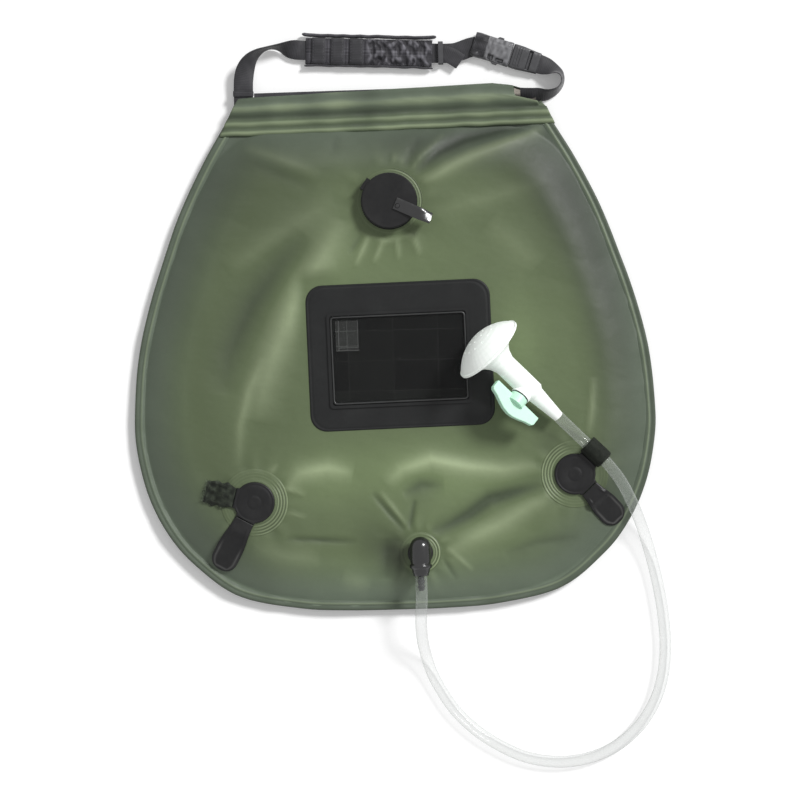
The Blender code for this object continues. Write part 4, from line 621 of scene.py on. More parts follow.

# %% [markdown]
# Where the cloth bulges or sinks over a wide area it looks lighter or darker than the folds alone
# make it, and its steep upper right side lies in shade. More folds could do this, but would show as
# lines, so broad soft areas of painted light and painted shade change the colour a little instead,
# with painted shade on that steep side and painted shadows beside the outlet and near the right tie.

# %% Painted light and shade in broad areas
# A positive strength is painted light, and a negative one painted shade or shadow.
POOLS = (  # middle and half size of each area in metres, and its strength
    (-0.205, 0.070, 0.100, 0.170, -0.21), (-0.170, -0.100, 0.050, 0.100, -0.22),
    (0.185, 0.170, 0.050, 0.090, -0.36), (0.215, 0.050, 0.030, 0.100, -0.20),
    (-0.010, 0.100, 0.085, 0.035, 0.22), (0.130, 0.030, 0.025, 0.050, 0.28),
    (0.000, -0.110, 0.100, 0.030, 0.46), (0.060, -0.150, 0.070, 0.030, 0.22),
    (0.000, -0.232, 0.200, 0.028, 0.46), (-0.075, -0.130, 0.045, 0.024, 0.22),
    (0.080, -0.128, 0.055, 0.012, 0.22), (0.105, -0.185, 0.060, 0.016, 0.16),
    (-0.110, 0.220, 0.060, 0.030, -0.15), (-0.130, -0.190, 0.050, 0.030, -0.12),
    (-0.001, -0.202, 0.013, 0.024, -0.80), (-0.088, 0.120, 0.030, 0.060, -0.20),
    (-0.055, 0.075, 0.022, 0.050, 0.16), (0.030, 0.225, 0.060, 0.018, -0.22),
    (0.125, 0.188, 0.042, 0.036, -0.11), (-0.081, 0.190, 0.042, 0.034, -0.06),
    (-0.060, -0.236, 0.060, 0.014, 0.10), (-0.238, -0.008, 0.022, 0.070, 0.12),
    (-0.152, 0.182, 0.052, 0.062, -0.28), (0.180, 0.062, 0.034, 0.120, 0.12),
    (-0.094, 0.068, 0.020, 0.036, 0.24), (-0.026, -0.190, 0.018, 0.026, -0.32),
    (0.128, 0.002, 0.022, 0.035, 0.18), (-0.160, -0.062, 0.026, 0.050, 0.20),
    (0.158, -0.088, 0.015, 0.015, -0.25),
)
SHADY_BEARING, SHADY_SHARE, SHADY_WIDTH, SHADY_STRENGTH = 0.55, 0.88, 0.10, 0.40


def broad_shade(x, y):
    """Painted light and shade in broad areas of the cloth, as a share more or less than its own colour."""
    # The steep upper right side gets painted shade.
    shady = np.clip(np.cos(bearing_of(x, y) - SHADY_BEARING), 0, 1)
    shady = shady * np.exp(-((slope_share(x, y) - SHADY_SHARE) / SHADY_WIDTH) ** 2)
    pools = sum(strength * np.exp(-((x - a) / wide) ** 2 - ((y - b) / high) ** 2)
                for a, b, wide, high, strength in POOLS)
    return pools - SHADY_STRENGTH * shady


print("areas", len(POOLS))

# %% [markdown]
# A sheet is a set of rings drawn in from the outline to the middle, which lies under the label. A
# square grid would leave steps along the curved rim. The front takes its heights from the folds,
# and the tone mask paints crests lighter and valleys darker, as highlight and shade; the shade mask
# adds the broad painted light and shade. Two holes open into the bag: one under the fill neck and a
# small one under the outlet. Their rough edges lie under the fittings.

# %% Front of the bag
MOUTHS = ((FILL_VALVE, 0.0175), (OUTLET, 0.0065))
SHEET_START, SLOPE_FROM, SHEET_END = 0.01, 0.80, 0.9944
FULL_TONE_LIFT = 0.0028


def sheet_rings(level, slope):
    """The places of the rings between the middle and the rim, with so many on each part."""
    shares = np.r_[np.linspace(SHEET_START, SLOPE_FROM, level), np.linspace(SLOPE_FROM, SHEET_END, slope)[1:]]
    return MIDDLE + spokes[None] * shares[:, None, None]


flat = sheet_rings(level=82, slope=36)
x, y = flat[..., 0], flat[..., 1]
height, lift, share = front_parts(x, y)
front_mesh = grid_mesh("bag_front", np.dstack([flat, height]), wrap=True)
front_tone = np.clip(lift / FULL_TONE_LIFT, -0.9, 0.9)
mark(front_mesh, tone=front_tone, pale=ease((share - 0.74) / 0.22), shade=broad_shade(x, y))
work = bmesh.new()
work.from_mesh(front_mesh)
cut = [face for face in work.faces if any((face.calc_center_median().xy - Vector(place)).length < radius
                                          for place, radius in MOUTHS)]
bmesh.ops.delete(work, geom=cut, context="FACES")
work.to_mesh(front_mesh)
work.free()
add_piece("bag_front", front_mesh, olive_fabric, "bag", ["front_panel"])
print("front", len(front_mesh.vertices), "points, highest", round(float(height.max()), 4))

# %% [markdown]
# The back is the same cut of fabric. The bag rests on it, so it is flat in the middle, with
# shallow wrinkles that only rise from the ground, and it curves up to the rim. A mirrored copy of
# the front would sink into the ground.

# %% Back of the bag
BACK_CLEARANCE, BACK_RISE = 0.0001, 0.0094
flat = sheet_rings(level=46, slope=20)
x, y = flat[..., 0], flat[..., 1]
share = share_at(x, y)
wrinkles = 0.0005 * (1 + waves(x, y, 0.05, 12)) * 0.5 + 0.0004 * np.maximum(waves(x, y, 0.02, 13), 0)
height = BACK_CLEARANCE + BACK_RISE * (1 - slope_rise(x, y)) + np.clip(wrinkles, 0, 0.0012) * off_rim(share)
height = height + rim_flutter(x, y, share)
back_mesh = grid_mesh("bag_back", np.dstack([flat, height])[::-1], wrap=True)
# The tone mask paints the wrinkles' crests lighter and their hollows darker, as highlight and shade.
back_tone = np.clip((wrinkles / 0.001 - 0.5) * 0.4, -0.5, 0.5)
mark(back_mesh, tone=back_tone[::-1], pale=ease((share - 0.80) / 0.17)[::-1])
add_piece("bag_back", back_mesh, olive_fabric, "bag", ["back_panel"])
print("back", len(back_mesh.vertices), "points")

# %% [markdown]
# Both sheets meet in a welded and bound rim, a narrow band with a folded edge outside and a raised
# bead inside. Its tone paints the folded edge dark, as shade, and the bead pale, as a highlight. A
# bevelled curve would turn over in the corners, so the cross section is swept along the sides and
# the bottom, always level.

# %% Bound rim
# In the table, tone is painted shade where negative and a painted highlight where positive.
BAND = np.array([  # inset from the edge, height over the rim's middle, tone
    (0.0000, 0.0000, -1.0), (0.0003, 0.0010, -0.9), (0.0010, 0.0017, -0.60), (0.0020, 0.0018, -0.50),
    (0.0032, 0.0016, -0.45), (0.0042, 0.0014, -0.38), (0.0050, 0.0012, -0.30), (0.0057, 0.0015, 0.05),
    (0.0064, 0.0020, 0.34), (0.0072, 0.0021, 0.36), (0.0080, 0.0018, 0.12), (0.0090, 0.0014, -0.08),
    (0.0100, 0.0012, -0.15), (0.0107, 0.0009, -0.2), (0.0112, 0.0006, -0.3), (0.0112, -0.0006, -0.2),
    (0.0095, -0.0015, 0.0), (0.0050, -0.0015, 0.0), (0.0018, -0.0014, -0.3), (0.0004, -0.0009, -0.8),
])
BAND_LEVEL, BAND_TOP, BAND_UPPER_END = 0.0105, 0.0014, 0.2478
band_inset, band_height, band_tone = BAND.T[:, None]
along = np.gradient(rim_line, axis=0)
inward = np.stack([-along[:, 1], along[:, 0]], -1)
inward /= np.linalg.norm(inward, axis=1, keepdims=True)
inward *= np.sign(((MIDDLE - rim_line) * inward).sum(1, keepdims=True))
keep = rim_line[:, 1] < BAND_UPPER_END
edge, inward = rim_line[keep], inward[keep]
x, y = edge[:, :1], edge[:, 1:]
places = edge[:, None] + inward[:, None] * band_inset[:, :, None]
heights = BAND_LEVEL + flutter(x, y) + band_height
heights = heights + 0.00022 * waves(x, y, 0.012, 21) * np.clip(band_height / BAND_TOP, 0, 1)
rim_mesh = grid_mesh("bound_rim", np.dstack([places, heights]), wrap=True, caps=True)
# The bead's painted highlight is dimmed at the lower left, as painted shade.
plain = 1 - 0.85 * np.exp(-((np.degrees(bearing_of(x, y)) + 150) / 24) ** 2)
tone = np.where(band_tone > 0, band_tone * plain, band_tone)
mark(rim_mesh, tone=tone, pale=np.ones(tone.shape))
add_piece("bound_rim", tidy_mesh(rim_mesh), olive_fabric, "bag", ["rim_binding"])
print("rim band", len(edge), "sections")

# %% [markdown]
# The top edge is folded over and welded into a sleeve for the webbing. Folding a flat strip of
# mesh in a simulation would not land on the photographed lines, so one cross section runs from
# the front's lower weld, over the sleeve and down the back. It follows lines that rise gently to
# the right, and a notch at the front's right end leaves the mouth open.

# %% Cross section of the hem
# In the table, tone is a painted highlight on the ridges where positive and painted shade in the grooves
# where negative.
HEM = np.array([  # up from the weld line, share of the way to the top edge, height, tone, side
    (-0.0182, 0, 0.0122, -0.5, 1), (-0.0172, 0, 0.0130, 0.0, 1), (-0.0160, 0, 0.0140, 0.5, 1),
    (-0.0148, 0, 0.0144, 0.6, 1), (-0.0136, 0, 0.0138, 0.2, 1), (-0.0122, 0, 0.0129, -0.4, 1),
    (-0.0108, 0, 0.0126, -0.5, 1), (-0.0092, 0, 0.0130, -0.2, 1), (-0.0076, 0, 0.0139, 0.25, 1),
    (-0.0060, 0, 0.0146, 0.50, 1), (-0.0046, 0, 0.0144, 0.25, 1), (-0.0032, 0, 0.0134, -0.3, 1),
    (-0.0016, 0, 0.0126, -0.6, 1), (0, 0, 0.0123, -0.8, 1), (0, 0.06, 0.0124, -0.8, 1),
    (0, 0.13, 0.0130, -0.65, 1), (0, 0.22, 0.0144, -0.15, 1), (0, 0.32, 0.0158, 0.25, 1),
    (0, 0.42, 0.0166, 0.5, 1), (0, 0.52, 0.0167, 0.4, 1), (0, 0.62, 0.0161, 0.0, 1),
    (0, 0.72, 0.0151, -0.3, 1), (0, 0.82, 0.0139, -0.4, 1), (0, 0.92, 0.0126, -0.2, 1),
    (0, 0.98, 0.0114, 0.0, 1), (0, 1.00, 0.0104, -0.1, 1), (0, 0.98, 0.0093, -0.2, -1),
    (0, 0.88, 0.0074, 0, -1), (0, 0.70, 0.0056, 0, -1), (0, 0.45, 0.0049, 0, -1), (0, 0.20, 0.0056, 0, -1),
    (0, 0.06, 0.0074, 0, -1), (-0.0015, 0, 0.0084, 0, -1), (-0.0098, 0, 0.0084, 0, -1),
    (-0.0172, 0, 0.0086, 0, -1),
])
SLEEVE_TOP = ((-0.156, -0.138, -0.050, 0.050, 0.110, 0.131, 0.1433, 0.1585),
              (0.2742, 0.2755, 0.2785, 0.2815, 0.2834, 0.2808, 0.2768, 0.2696))
WELD_START, WELD_LEVEL, WELD_SLOPE = -0.1325, 0.2541, 0.0141
up_from_weld, up_share, hem_height, hem_tone, hem_side = HEM.T


def weld_line(x):
    """The sleeve's lower weld, which rises to the right."""
    return WELD_LEVEL + (x - WELD_START) * WELD_SLOPE


print("hem places", len(HEM))

# %% Top hem
HEM_END, NOTCH_END, NOTCH_DEPTH, HEM_SECTIONS = 0.1668, 0.1570, 0.0250, 170
WELD_ABOVE_PANEL, SLEEVE_DEPTH = 0.004, 0.0205
LEFT_SLANT, RIGHT_SLANT, LOWER_SLANT = 0.56, 0.40, 0.48
HEM_CLOTH = 0.0006
sleeve = up_share > 0.03
over_panel = WELD_ABOVE_PANEL + up_from_weld + up_share * SLEEVE_DEPTH
starts = -HEM_END + over_panel * np.where(over_panel > 0, LEFT_SLANT, LOWER_SLANT)
ends = HEM_END - over_panel * np.where(over_panel > 0, RIGHT_SLANT, LOWER_SLANT)
notch = NOTCH_END - NOTCH_DEPTH * ease((up_share - 0.40) / 0.14)
ends = np.where(sleeve & (hem_side > 0), notch, ends)
x = starts + (ends - starts) * np.linspace(0, 1, HEM_SECTIONS)[:, None]
y = weld_line(x) + up_from_weld + up_share * (np.interp(x, *SLEEVE_TOP) - weld_line(x))
sag = 0.00035 * waves(x, y, 0.030, 31) * up_share + 0.00020 * waves(x, y * 0.2, 0.011, 32)
z = hem_height + sag * hem_side
y = y + 0.0003 * waves(x, x * 0, 0.020, 33) * (up_share < 0.9)
hem_mesh = grid_mesh("top_hem_fold", np.dstack([x, y, z]))
# The sleeve is greyer towards its top, as painted shade where the fold turns away from the light.
hem_pale = np.where(sleeve, 0.7 + 0.3 * up_share, 0.45)
mark(hem_mesh, tone=hem_tone + 0.16 * waves(x, y, 0.03, 34), pale=hem_pale + 0 * x)
top_hem_fold = add_piece("top_hem_fold", hem_mesh, olive_fabric, "bag", ["top_hem"])
top_hem_fold.modifiers.new("cloth", "SOLIDIFY").thickness = HEM_CLOTH
print("hem from", round(float(x.min()), 3), "to", round(float(x.max()), 3))

# %% [markdown]
# Each fitting is welded to the bag through a disc of the same fabric, in which heat presses rings.
# Their crests are painted lighter and their grooves darker, as highlight and shade. A flat disc
# would sink into the folds, so it is draped: its height is that of the front under it. The rings are
# pressed deeply only towards one side, where the photo shows them.

# %% Welded discs
DISC_SHELF, RING_PITCH, DISC_CLOTH = 0.0308, 0.0030, 0.0003


def weld_disc(name, place, inner, flat_to, outer, stands_for, material, facing):
    """A draped disc whose rings are pressed deeply only towards one side, given in degrees."""
    angle = np.linspace(0, 2 * np.pi, 128, endpoint=False)
    radius = np.r_[np.linspace(inner, flat_to, 6), np.linspace(flat_to, outer, 44)[1:]][:, None]
    x, y = place[0] + radius * np.cos(angle), place[1] + radius * np.sin(angle)
    free = ease((radius - flat_to) / 0.003)
    crisp = 0.12 + 0.88 * ease((np.cos(angle - math.radians(facing)) - 0.25) / 0.5)
    ring = np.cos((radius - flat_to) * 2 * np.pi / RING_PITCH) * crisp
    hold = np.clip((outer - radius) / 0.0030, 0, 1)
    draped, folds, _ = front_parts(x, y)
    z = DISC_SHELF * (1 - free) + (draped + 0.0004 * hold + 0.00022 * ring) * free
    mesh = grid_mesh(name, np.dstack([x, y, z]), wrap=True)
    # The tone paints the crests of the rings and folds lighter and their grooves darker, as highlight and
    # shade.
    tone = np.clip(0.62 * ring * free + folds / FULL_TONE_LIFT, -0.9, 0.9)
    mark(mesh, tone=tone, pale=0 * x, shade=broad_shade(x, y))
    disc = add_piece(name, mesh, material, "bag", stands_for)
    disc.modifiers.new("cloth", "SOLIDIFY").thickness = DISC_CLOTH


WELD_DISCS = (  # name, place, inner, flat and outer radius, node, material, facing in degrees
    ("weld_fill", FILL_VALVE, 0.0150, 0.0290, 0.0345, ["fill_weld_ring"], olive_fabric, 25),
    ("weld_outlet", OUTLET, 0.0045, 0.0135, 0.0215, ["outlet_weld_ring"], weld_fabric, 0),
    ("weld_tie_left", TIE_LEFT, 0.0010, 0.0215, 0.0345, ["tie_patch_left"], weld_fabric, -25),
    ("weld_tie_right", TIE_RIGHT, 0.0010, 0.0215, 0.0345, ["tie_patch_right"], weld_fabric, 175),
)
for disc in WELD_DISCS:
    weld_disc(*disc)
print("welded discs", len(WELD_DISCS))

# %% [markdown]
# Black rubber and soft vinyl are close to each other: nearly black, with a satin shine that
# changes from place to place, a fine grain, and a little pale dust. Pure black with one roughness
# would look like a hole, so one recipe makes them all from two colours and a mask of wear. On the
# long tongues that mask carries a painted highlight instead, and on the buckle's socket a painted
# sheen as well as wear.


# %% Materials: black rubber and vinyl
def dark_material(name, base, pale_dust_and_highlight, roughness, grain_size, grain_depth, gloss=0.26):
    material, tree, sockets, place = start_material(name, Specular_IOR_Level=gloss)
    broad, close, shade = two_mottlings(tree, place, (0.030, 0.14), (0.0035, 0.12))
    # The pale colour is mixed in for dust and wear, and for the painted highlight and sheen that the mask
    # carries on the tongues and the buckle.
    dust_wear_and_highlight = maths(tree, "ADD", times(tree, maths(tree, "POWER", broad, 3.0), 0.4), masked(tree, "worn"))
    fine = placed(tree, grain, Place=place, Size=grain_size)["Height"]
    end_material(tree, sockets, mixed(tree, dust_wear_and_highlight, base, pale_dust_and_highlight), shade, close, roughness, 0.2,
                 bumped(tree, fine, grain_depth, 0.7))
    return material


black_rubber = dark_material("black_rubber", (0.0070, 0.0070, 0.0075, 1), (0.075, 0.075, 0.073, 1),
                             roughness=0.40, grain_size=0.0009, grain_depth=0.00008)
gloss_rubber = dark_material("gloss_rubber", (0.0050, 0.0050, 0.0056, 1), (0.030, 0.030, 0.031, 1),
                             roughness=0.22, grain_size=0.0011, grain_depth=0.00006, gloss=0.75)
label_vinyl = dark_material("label_vinyl", (0.0080, 0.0085, 0.0088, 1), (0.030, 0.031, 0.030, 1),
                            roughness=0.46, grain_size=0.0013, grain_depth=0.00010)
buckle_plastic = dark_material("buckle_plastic", (0.050, 0.050, 0.054, 1), (0.210, 0.210, 0.220, 1),
                               roughness=0.34, grain_size=0.0007, grain_depth=0.00007, gloss=0.5)
print("dark materials 4")

# %% [markdown]
# The label is a soft vinyl patch, welded round its edge. A flat box would have one hard edge, so
# it is drawn as rings of a rounded rectangle, with a rolled border and a pressed groove inside it.


# %% Label patch
def rounded_outline(width, depth, corner, count=50):
    """Evenly spaced points round a rectangle with round corners, four times the count."""
    turn = np.linspace(0, np.pi / 2, 13)
    points = []
    for index, (sx, sy) in enumerate(((1, 1), (-1, 1), (-1, -1), (1, -1))):
        middle = np.array((sx * (width / 2 - corner), sy * (depth / 2 - corner)))
        points += [middle + corner * np.array((math.cos(t), math.sin(t))) for t in turn + index * np.pi / 2]
    loop = np.array(points + points[:1])
    run = run_along(loop)
    even = np.linspace(0, run[-1], count * 4, endpoint=False)
    return np.stack([np.interp(even, run, loop[:, 0]), np.interp(even, run, loop[:, 1])], -1)


def on_label(points):
    c, s = math.cos(LABEL_TURN), math.sin(LABEL_TURN)
    return np.stack([LABEL_MIDDLE[0] + points[..., 0] * c - points[..., 1] * s,
                     LABEL_MIDDLE[1] + points[..., 0] * s + points[..., 1] * c], -1)


PATCH_WIDTH, PATCH_DEPTH, PATCH_CORNER, PATCH_LEVEL = 0.1895, 0.150, 0.017, 0.0312
PATCH_BORDER = (  # share of the way out, and height
    (1.0, 0.0302), (0.997, 0.0307), (0.992, 0.0311), (0.985, 0.0312), (0.975, 0.0309), (0.965, 0.0309),
    (0.955, 0.0312),
)
border_share, border_height = np.array(PATCH_BORDER).T
inset = np.r_[border_share, np.linspace(0.94, 0.02, 30)][:, None]
height = np.r_[border_height, np.full(30, PATCH_LEVEL)][:, None]
flat = on_label(rounded_outline(PATCH_WIDTH, PATCH_DEPTH, PATCH_CORNER)[None] * inset[:, :, None])
height = height + np.minimum(0.00012 * waves(flat[..., 0], flat[..., 1], 0.018, 41), 0)
patch_mesh = tidy_mesh(grid_mesh("label_sheet", np.dstack([flat, height]), wrap=True, caps=True))
add_piece("label_sheet", patch_mesh, label_vinyl, "bag", ["label_patch"])
print("label", len(patch_mesh.vertices), "points")

# %% [markdown]
# Behind the clear window lies a plain dark card, with a strip that shows the temperature. Its
# faint cells could be cut as shapes, but they are only printed, so a brick texture draws them. It
# carries no words.


# %% Window card
def printed_material(name, gloss, roughness, colours, cell, cloud):
    """A printed film; cell gives its lines' width and its own width and height, cloud a mottling."""
    material, tree, sockets, place = start_material(name, Specular_IOR_Level=gloss, Roughness=roughness)
    cells = add_node(tree, "ShaderNodeTexBrick", {
        "Vector": place, "Color1": colours[0], "Color2": colours[1], "Mortar": colours[2], "Scale": 1.0,
        "Mortar Size": cell[0], "Brick Width": cell[1], "Row Height": cell[2]}, offset=0.0).outputs["Color"]
    dull = placed(tree, mottling, Place=place, Size=cloud[0], Amount=cloud[1])["Shade"]
    wire(tree, sockets["Base Color"], shaded(tree, cells, dull))
    return material


CARD_WIDTH, CARD_DEPTH, CARD_CORNER, CARD_LEVEL = 0.139, 0.091, 0.002, 0.03145
WINDOW_SHIFT = np.array((-0.001, -0.003))
temperature_card = printed_material(
    "temperature_card", 0.15, 0.35,
    ((0.0055, 0.0058, 0.0058, 1), (0.011, 0.012, 0.011, 1), (0.026, 0.027, 0.026, 1)),
    (0.00022, 0.046, 0.0310), (0.012, 0.15))
card_loop = rounded_outline(CARD_WIDTH, CARD_DEPTH, CARD_CORNER, 20)
flat = on_label(card_loop[None] * np.linspace(1, 0.02, 8)[:, None, None] + WINDOW_SHIFT)
card_mesh = grid_mesh("window_card", np.dstack([flat, np.full(flat.shape[:2], CARD_LEVEL)]), wrap=True)
add_piece("window_card", card_mesh, temperature_card, "bag")
print("card", round(float(np.ptp(card_loop[:, 0])), 3), "m wide")

# %% [markdown]
# Webbing is a narrow woven band. Its ribs run across it, and its edges are a little thicker. Ribs
# drawn in the frame's own axes would cut straight through a bent strap, so they follow the map in
# metres that each strip carries, and bend with the strip. The grip's cloth is woven the same way.

# %% Material: webbing and grip cloth
ribs, taken, given = effect("ribs", {"Along": 0.0, "Pitch": 0.002}, ["Height"])
phase = times(ribs, maths(ribs, "DIVIDE", taken["Along"], taken["Pitch"]), 2 * math.pi)
wire(ribs, given["Height"], maths(ribs, "MULTIPLY_ADD", maths(ribs, "SINE", phase), 0.5, 0.5))
CROSS_PITCH_SHARE = 0.62


def woven_material(name, base, light, roughness, pitch, depth):
    material, tree, sockets, place = start_material(name, Specular_IOR_Level=0.35, Sheen_Weight=0.35,
                                                    Sheen_Roughness=0.4)
    metres = add_node(tree, "ShaderNodeUVMap", uv_map="metres").outputs[0]
    across, along = add_node(tree, "ShaderNodeSeparateXYZ", {0: metres}).outputs[:2]
    weft = times(tree, placed(tree, ribs, Along=along, Pitch=pitch)["Height"],
                 placed(tree, ribs, Along=across, Pitch=pitch * CROSS_PITCH_SHARE)["Height"])
    broad, close, shade = two_mottlings(tree, place, (0.013, 0.20), (0.0022, 0.16))
    fuzz_wear_and_highlight = times(tree, maths(tree, "ADD", weft, maths(tree, "POWER", broad, 2.0)), 0.50)
    # The tone mask adds to it: on the grip pad it is partly wear and partly a painted highlight on the crests
    # of the lumps.
    fuzz_wear_and_highlight = maths(tree, "MAXIMUM", maths(tree, "ADD", fuzz_wear_and_highlight, masked(tree, "tone")), 0.0)
    end_material(tree, sockets, mixed(tree, fuzz_wear_and_highlight, base, light), shade, close, roughness, 0.2,
                 bumped(tree, weft, depth, 0.8))
    return material


webbing_nylon = woven_material("webbing_nylon", (0.013, 0.013, 0.015, 1), (0.062, 0.060, 0.068, 1),
                               roughness=0.60, pitch=0.0017, depth=0.00010)
grip_cloth = woven_material("grip_cloth", (0.016, 0.015, 0.019, 1), (0.150, 0.146, 0.165, 1),
                            roughness=0.64, pitch=0.0013, depth=0.00016)
print("woven materials", webbing_nylon.name, grip_cloth.name)

# %% [markdown]
# The strap twists: it leaves the sleeve flat, stands on its edge in the bend, and lies flat again
# under the grip. A curve's own tilt is hard to steer in such a bend, so each place of a route
# carries the angle of its edge, and cross sections are set along the line at that angle.

# %% Strips of webbing
WEBBING_WIDTH, WEBBING_THICKNESS = 0.020, 0.0016


def strip_points(line, width, thickness, corners=9):
    """Cross sections of a flat strip along a line of x, y, z and edge angle."""
    centre = line[:, :3]
    ahead = np.gradient(centre, axis=0)
    ahead /= np.linalg.norm(ahead, axis=1, keepdims=True)
    level = np.cross((0, 0, 1.0), ahead)
    level /= np.linalg.norm(level, axis=1, keepdims=True)
    up = np.cross(ahead, level)
    twist = np.radians(line[:, 3])[:, None]
    across, normal = level * np.cos(twist) + up * np.sin(twist), up * np.cos(twist) - level * np.sin(twist)
    w = np.linspace(-1, 1, corners)
    thick = 0.5 * (1 - 0.85 * np.abs(w) ** 14) * (1 + 0.18 * np.abs(w) ** 5)
    section = np.r_[np.stack([w / 2, thick], -1), np.stack([w[::-1] / 2, -thick], -1)]
    points = (centre[:, None] + across[:, None] * section[None, :, :1] * width
              + normal[:, None] * section[None, :, 1:] * thickness)
    u = np.r_[np.r_[w, w[::-1]] * width / 2, -width / 2]
    return points, u, run_along(centre)


def webbing(name, route, degrees, body, stands_for=(), width=WEBBING_WIDTH, thickness=WEBBING_THICKNESS,
            material=webbing_nylon, step=0.0016):
    line = smooth_route(np.column_stack([route, np.broadcast_to(degrees, len(route))]), step)
    points, u, v = strip_points(line, width, thickness)
    points[..., 2] += 0.00012 * waves(points[..., 0], points[..., 1], 0.007, 51)
    mesh = grid_mesh(name, points, wrap=True, caps=True, u=u, v=v)
    return add_piece(name, mesh, material, body, stands_for, sharp=50)


print("webbing", WEBBING_WIDTH, "m wide")

# %% [markdown]
# One strap runs from the sleeve's left end to the buckle, another from the buckle back into the
# sleeve's right end. Both leave the bag at a fold, where a rigid joint would tear them, so neither
# rides on a body.

# %% Straps
LEFT_ROUTE = (
    (-0.1475, 0.2763, 0.0105), (-0.1474, 0.2850, 0.0106), (-0.1468, 0.2950, 0.0108),
    (-0.1446, 0.3050, 0.0110), (-0.1395, 0.3145, 0.0112), (-0.1310, 0.3222, 0.0112),
    (-0.1200, 0.3266, 0.0112), (-0.1085, 0.3268, 0.0110), (-0.1000, 0.3254, 0.0098),
    (-0.0925, 0.3244, 0.0072), (-0.0855, 0.3238, 0.0057), (-0.0660, 0.3228, 0.0055),
    (-0.0168, 0.3204, 0.0055), (0.0330, 0.3180, 0.0055), (0.0480, 0.3172, 0.0056),
    (0.0620, 0.3166, 0.0058), (0.0720, 0.3170, 0.0058), (0.0795, 0.3190, 0.0058), (0.0858, 0.3212, 0.0058),
    (0.0912, 0.3225, 0.0058), (0.0978, 0.3228, 0.0058),
)
LEFT_EDGE = (0, 0, 8, 25, 50, 75, 88, 72, 38, 12, 0, 0, 0, 0, 0, 0, 0, 0, 0, 0, 0)
RIGHT_ROUTE = (
    (0.1385, 0.2694, 0.0122), (0.1450, 0.2694, 0.0124), (0.1510, 0.2696, 0.0120), (0.1566, 0.2700, 0.0112),
    (0.1630, 0.2700, 0.0106), (0.1700, 0.2712, 0.0110), (0.1768, 0.2744, 0.0112), (0.1815, 0.2800, 0.0112),
    (0.1828, 0.2868, 0.0108), (0.1802, 0.2925, 0.0092), (0.1742, 0.2966, 0.0068), (0.1672, 0.3000, 0.0058),
    (0.1612, 0.3020, 0.0058), (0.1555, 0.3040, 0.0058),
)
RIGHT_EDGE = (38, 42, 46, 50, 58, 68, 76, 80, 78, 68, 46, 22, 6, 0)
FOLD_ROUTE = ((-0.1475, 0.2772, 0.0124), (-0.1475, 0.2797, 0.0127), (-0.1474, 0.2822, 0.0124))
TAIL_ROUTE = (
    (0.0540, 0.3168, 0.0079), (0.0575, 0.3168, 0.0079), (0.0620, 0.3160, 0.0079),
    (0.0680, 0.3135, 0.0078), (0.0740, 0.3098, 0.0076), (0.0780, 0.3070, 0.0074),
)
web_left = webbing("web_left", LEFT_ROUTE, LEFT_EDGE, None, ["strap_left"])
web_right = webbing("web_right", RIGHT_ROUTE, RIGHT_EDGE, None, ["strap_right"])
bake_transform(web_left)
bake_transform(web_right)
root_fold = webbing("web_root_fold", FOLD_ROUTE, 0, None, width=0.0212, thickness=0.0018)
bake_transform(root_fold)
webbing("web_tail", TAIL_ROUTE, 0, "strap", ["strap_tail"], width=0.017)
print("straps", [round(float(run_along(np.array(r))[-1]), 3) for r in (LEFT_ROUTE, RIGHT_ROUTE, TAIL_ROUTE)])

# %% [markdown]
# Inside the sleeve the webbing runs flat from end to end. It shows at the notched left corner,
# where it turns up, and in the open mouth on the right, which has a tan lining. There it tilts
# and leaves the sleeve, so that piece belongs to the right strap. The lining is one sheet under the
# mouth, since nobody sees the rest of it, and it is painted darker towards the right, as shade.

# %% Webbing and lining in the sleeve
SLEEVE_ROUTE = ((-0.1365, 0.2700, 0.0105), (-0.0500, 0.2705, 0.0105), (0.0500, 0.2708, 0.0105),
                (0.1310, 0.2702, 0.0105))
CORNER_ROUTE = ((-0.1475, 0.2562, 0.0105), (-0.1475, 0.2660, 0.0105), (-0.1475, 0.2764, 0.0105))
webbing("web_sleeve", SLEEVE_ROUTE, 0, "bag", ["hem_webbing"], step=0.004)
webbing("web_corner", CORNER_ROUTE, 0, "bag")
lining_tan, tree, sockets, place = start_material("lining_tan", Roughness=0.75, Specular_IOR_Level=0.2)
stain = placed(tree, mottling, Place=place, Size=0.008, Amount=0.22)["Shade"]
stained_and_shaded = times(tree, stain, maths(tree, "ADD", masked(tree, "shade"), 1.0))
wire(tree, sockets["Base Color"], shaded(tree, (0.34, 0.31, 0.27, 1), stained_and_shaded))
threads = placed(tree, weave, Place=place, Thread=THREAD)["Height"]
wire(tree, sockets["Normal"], bumped(tree, threads, 0.0002, 0.7))
LINING_START, LINING_END, LINING_LEVEL, LINING_INSET = 0.1300, 0.1545, 0.0108, 0.0020
x = np.linspace(LINING_START, LINING_END, 44)[:, None]
part = np.linspace(0, 1, 22)[None, :]
low = weld_line(x) + LINING_INSET
y = low + (np.interp(x, *SLEEVE_TOP) - 0.0006 - low) * part
z = LINING_LEVEL + 0.0004 * waves(x, part * 0.02, 0.009, 35) - 0.0024 * np.abs(2 * part - 1) ** 3
lining_mesh = grid_mesh("sleeve_lining", np.dstack([x + 0 * y, y, z]))
# The shade mask paints the lining darker towards the right, as shade inside the sleeve.
mark(lining_mesh, shade=-0.15 - 0.55 * ease((x - 0.138) / 0.006) + 0 * y)
add_piece("sleeve_lining", lining_mesh, lining_tan, "bag")
print("lining", len(lining_mesh.vertices), "points")

# %% [markdown]
# The grip is a foam pad in cloth, closed round the webbing. A bevelled box would look hard, so
# its cross section is a rounded rectangle that swells between the sewn lines, and the right part
# is quilted in soft lumps.

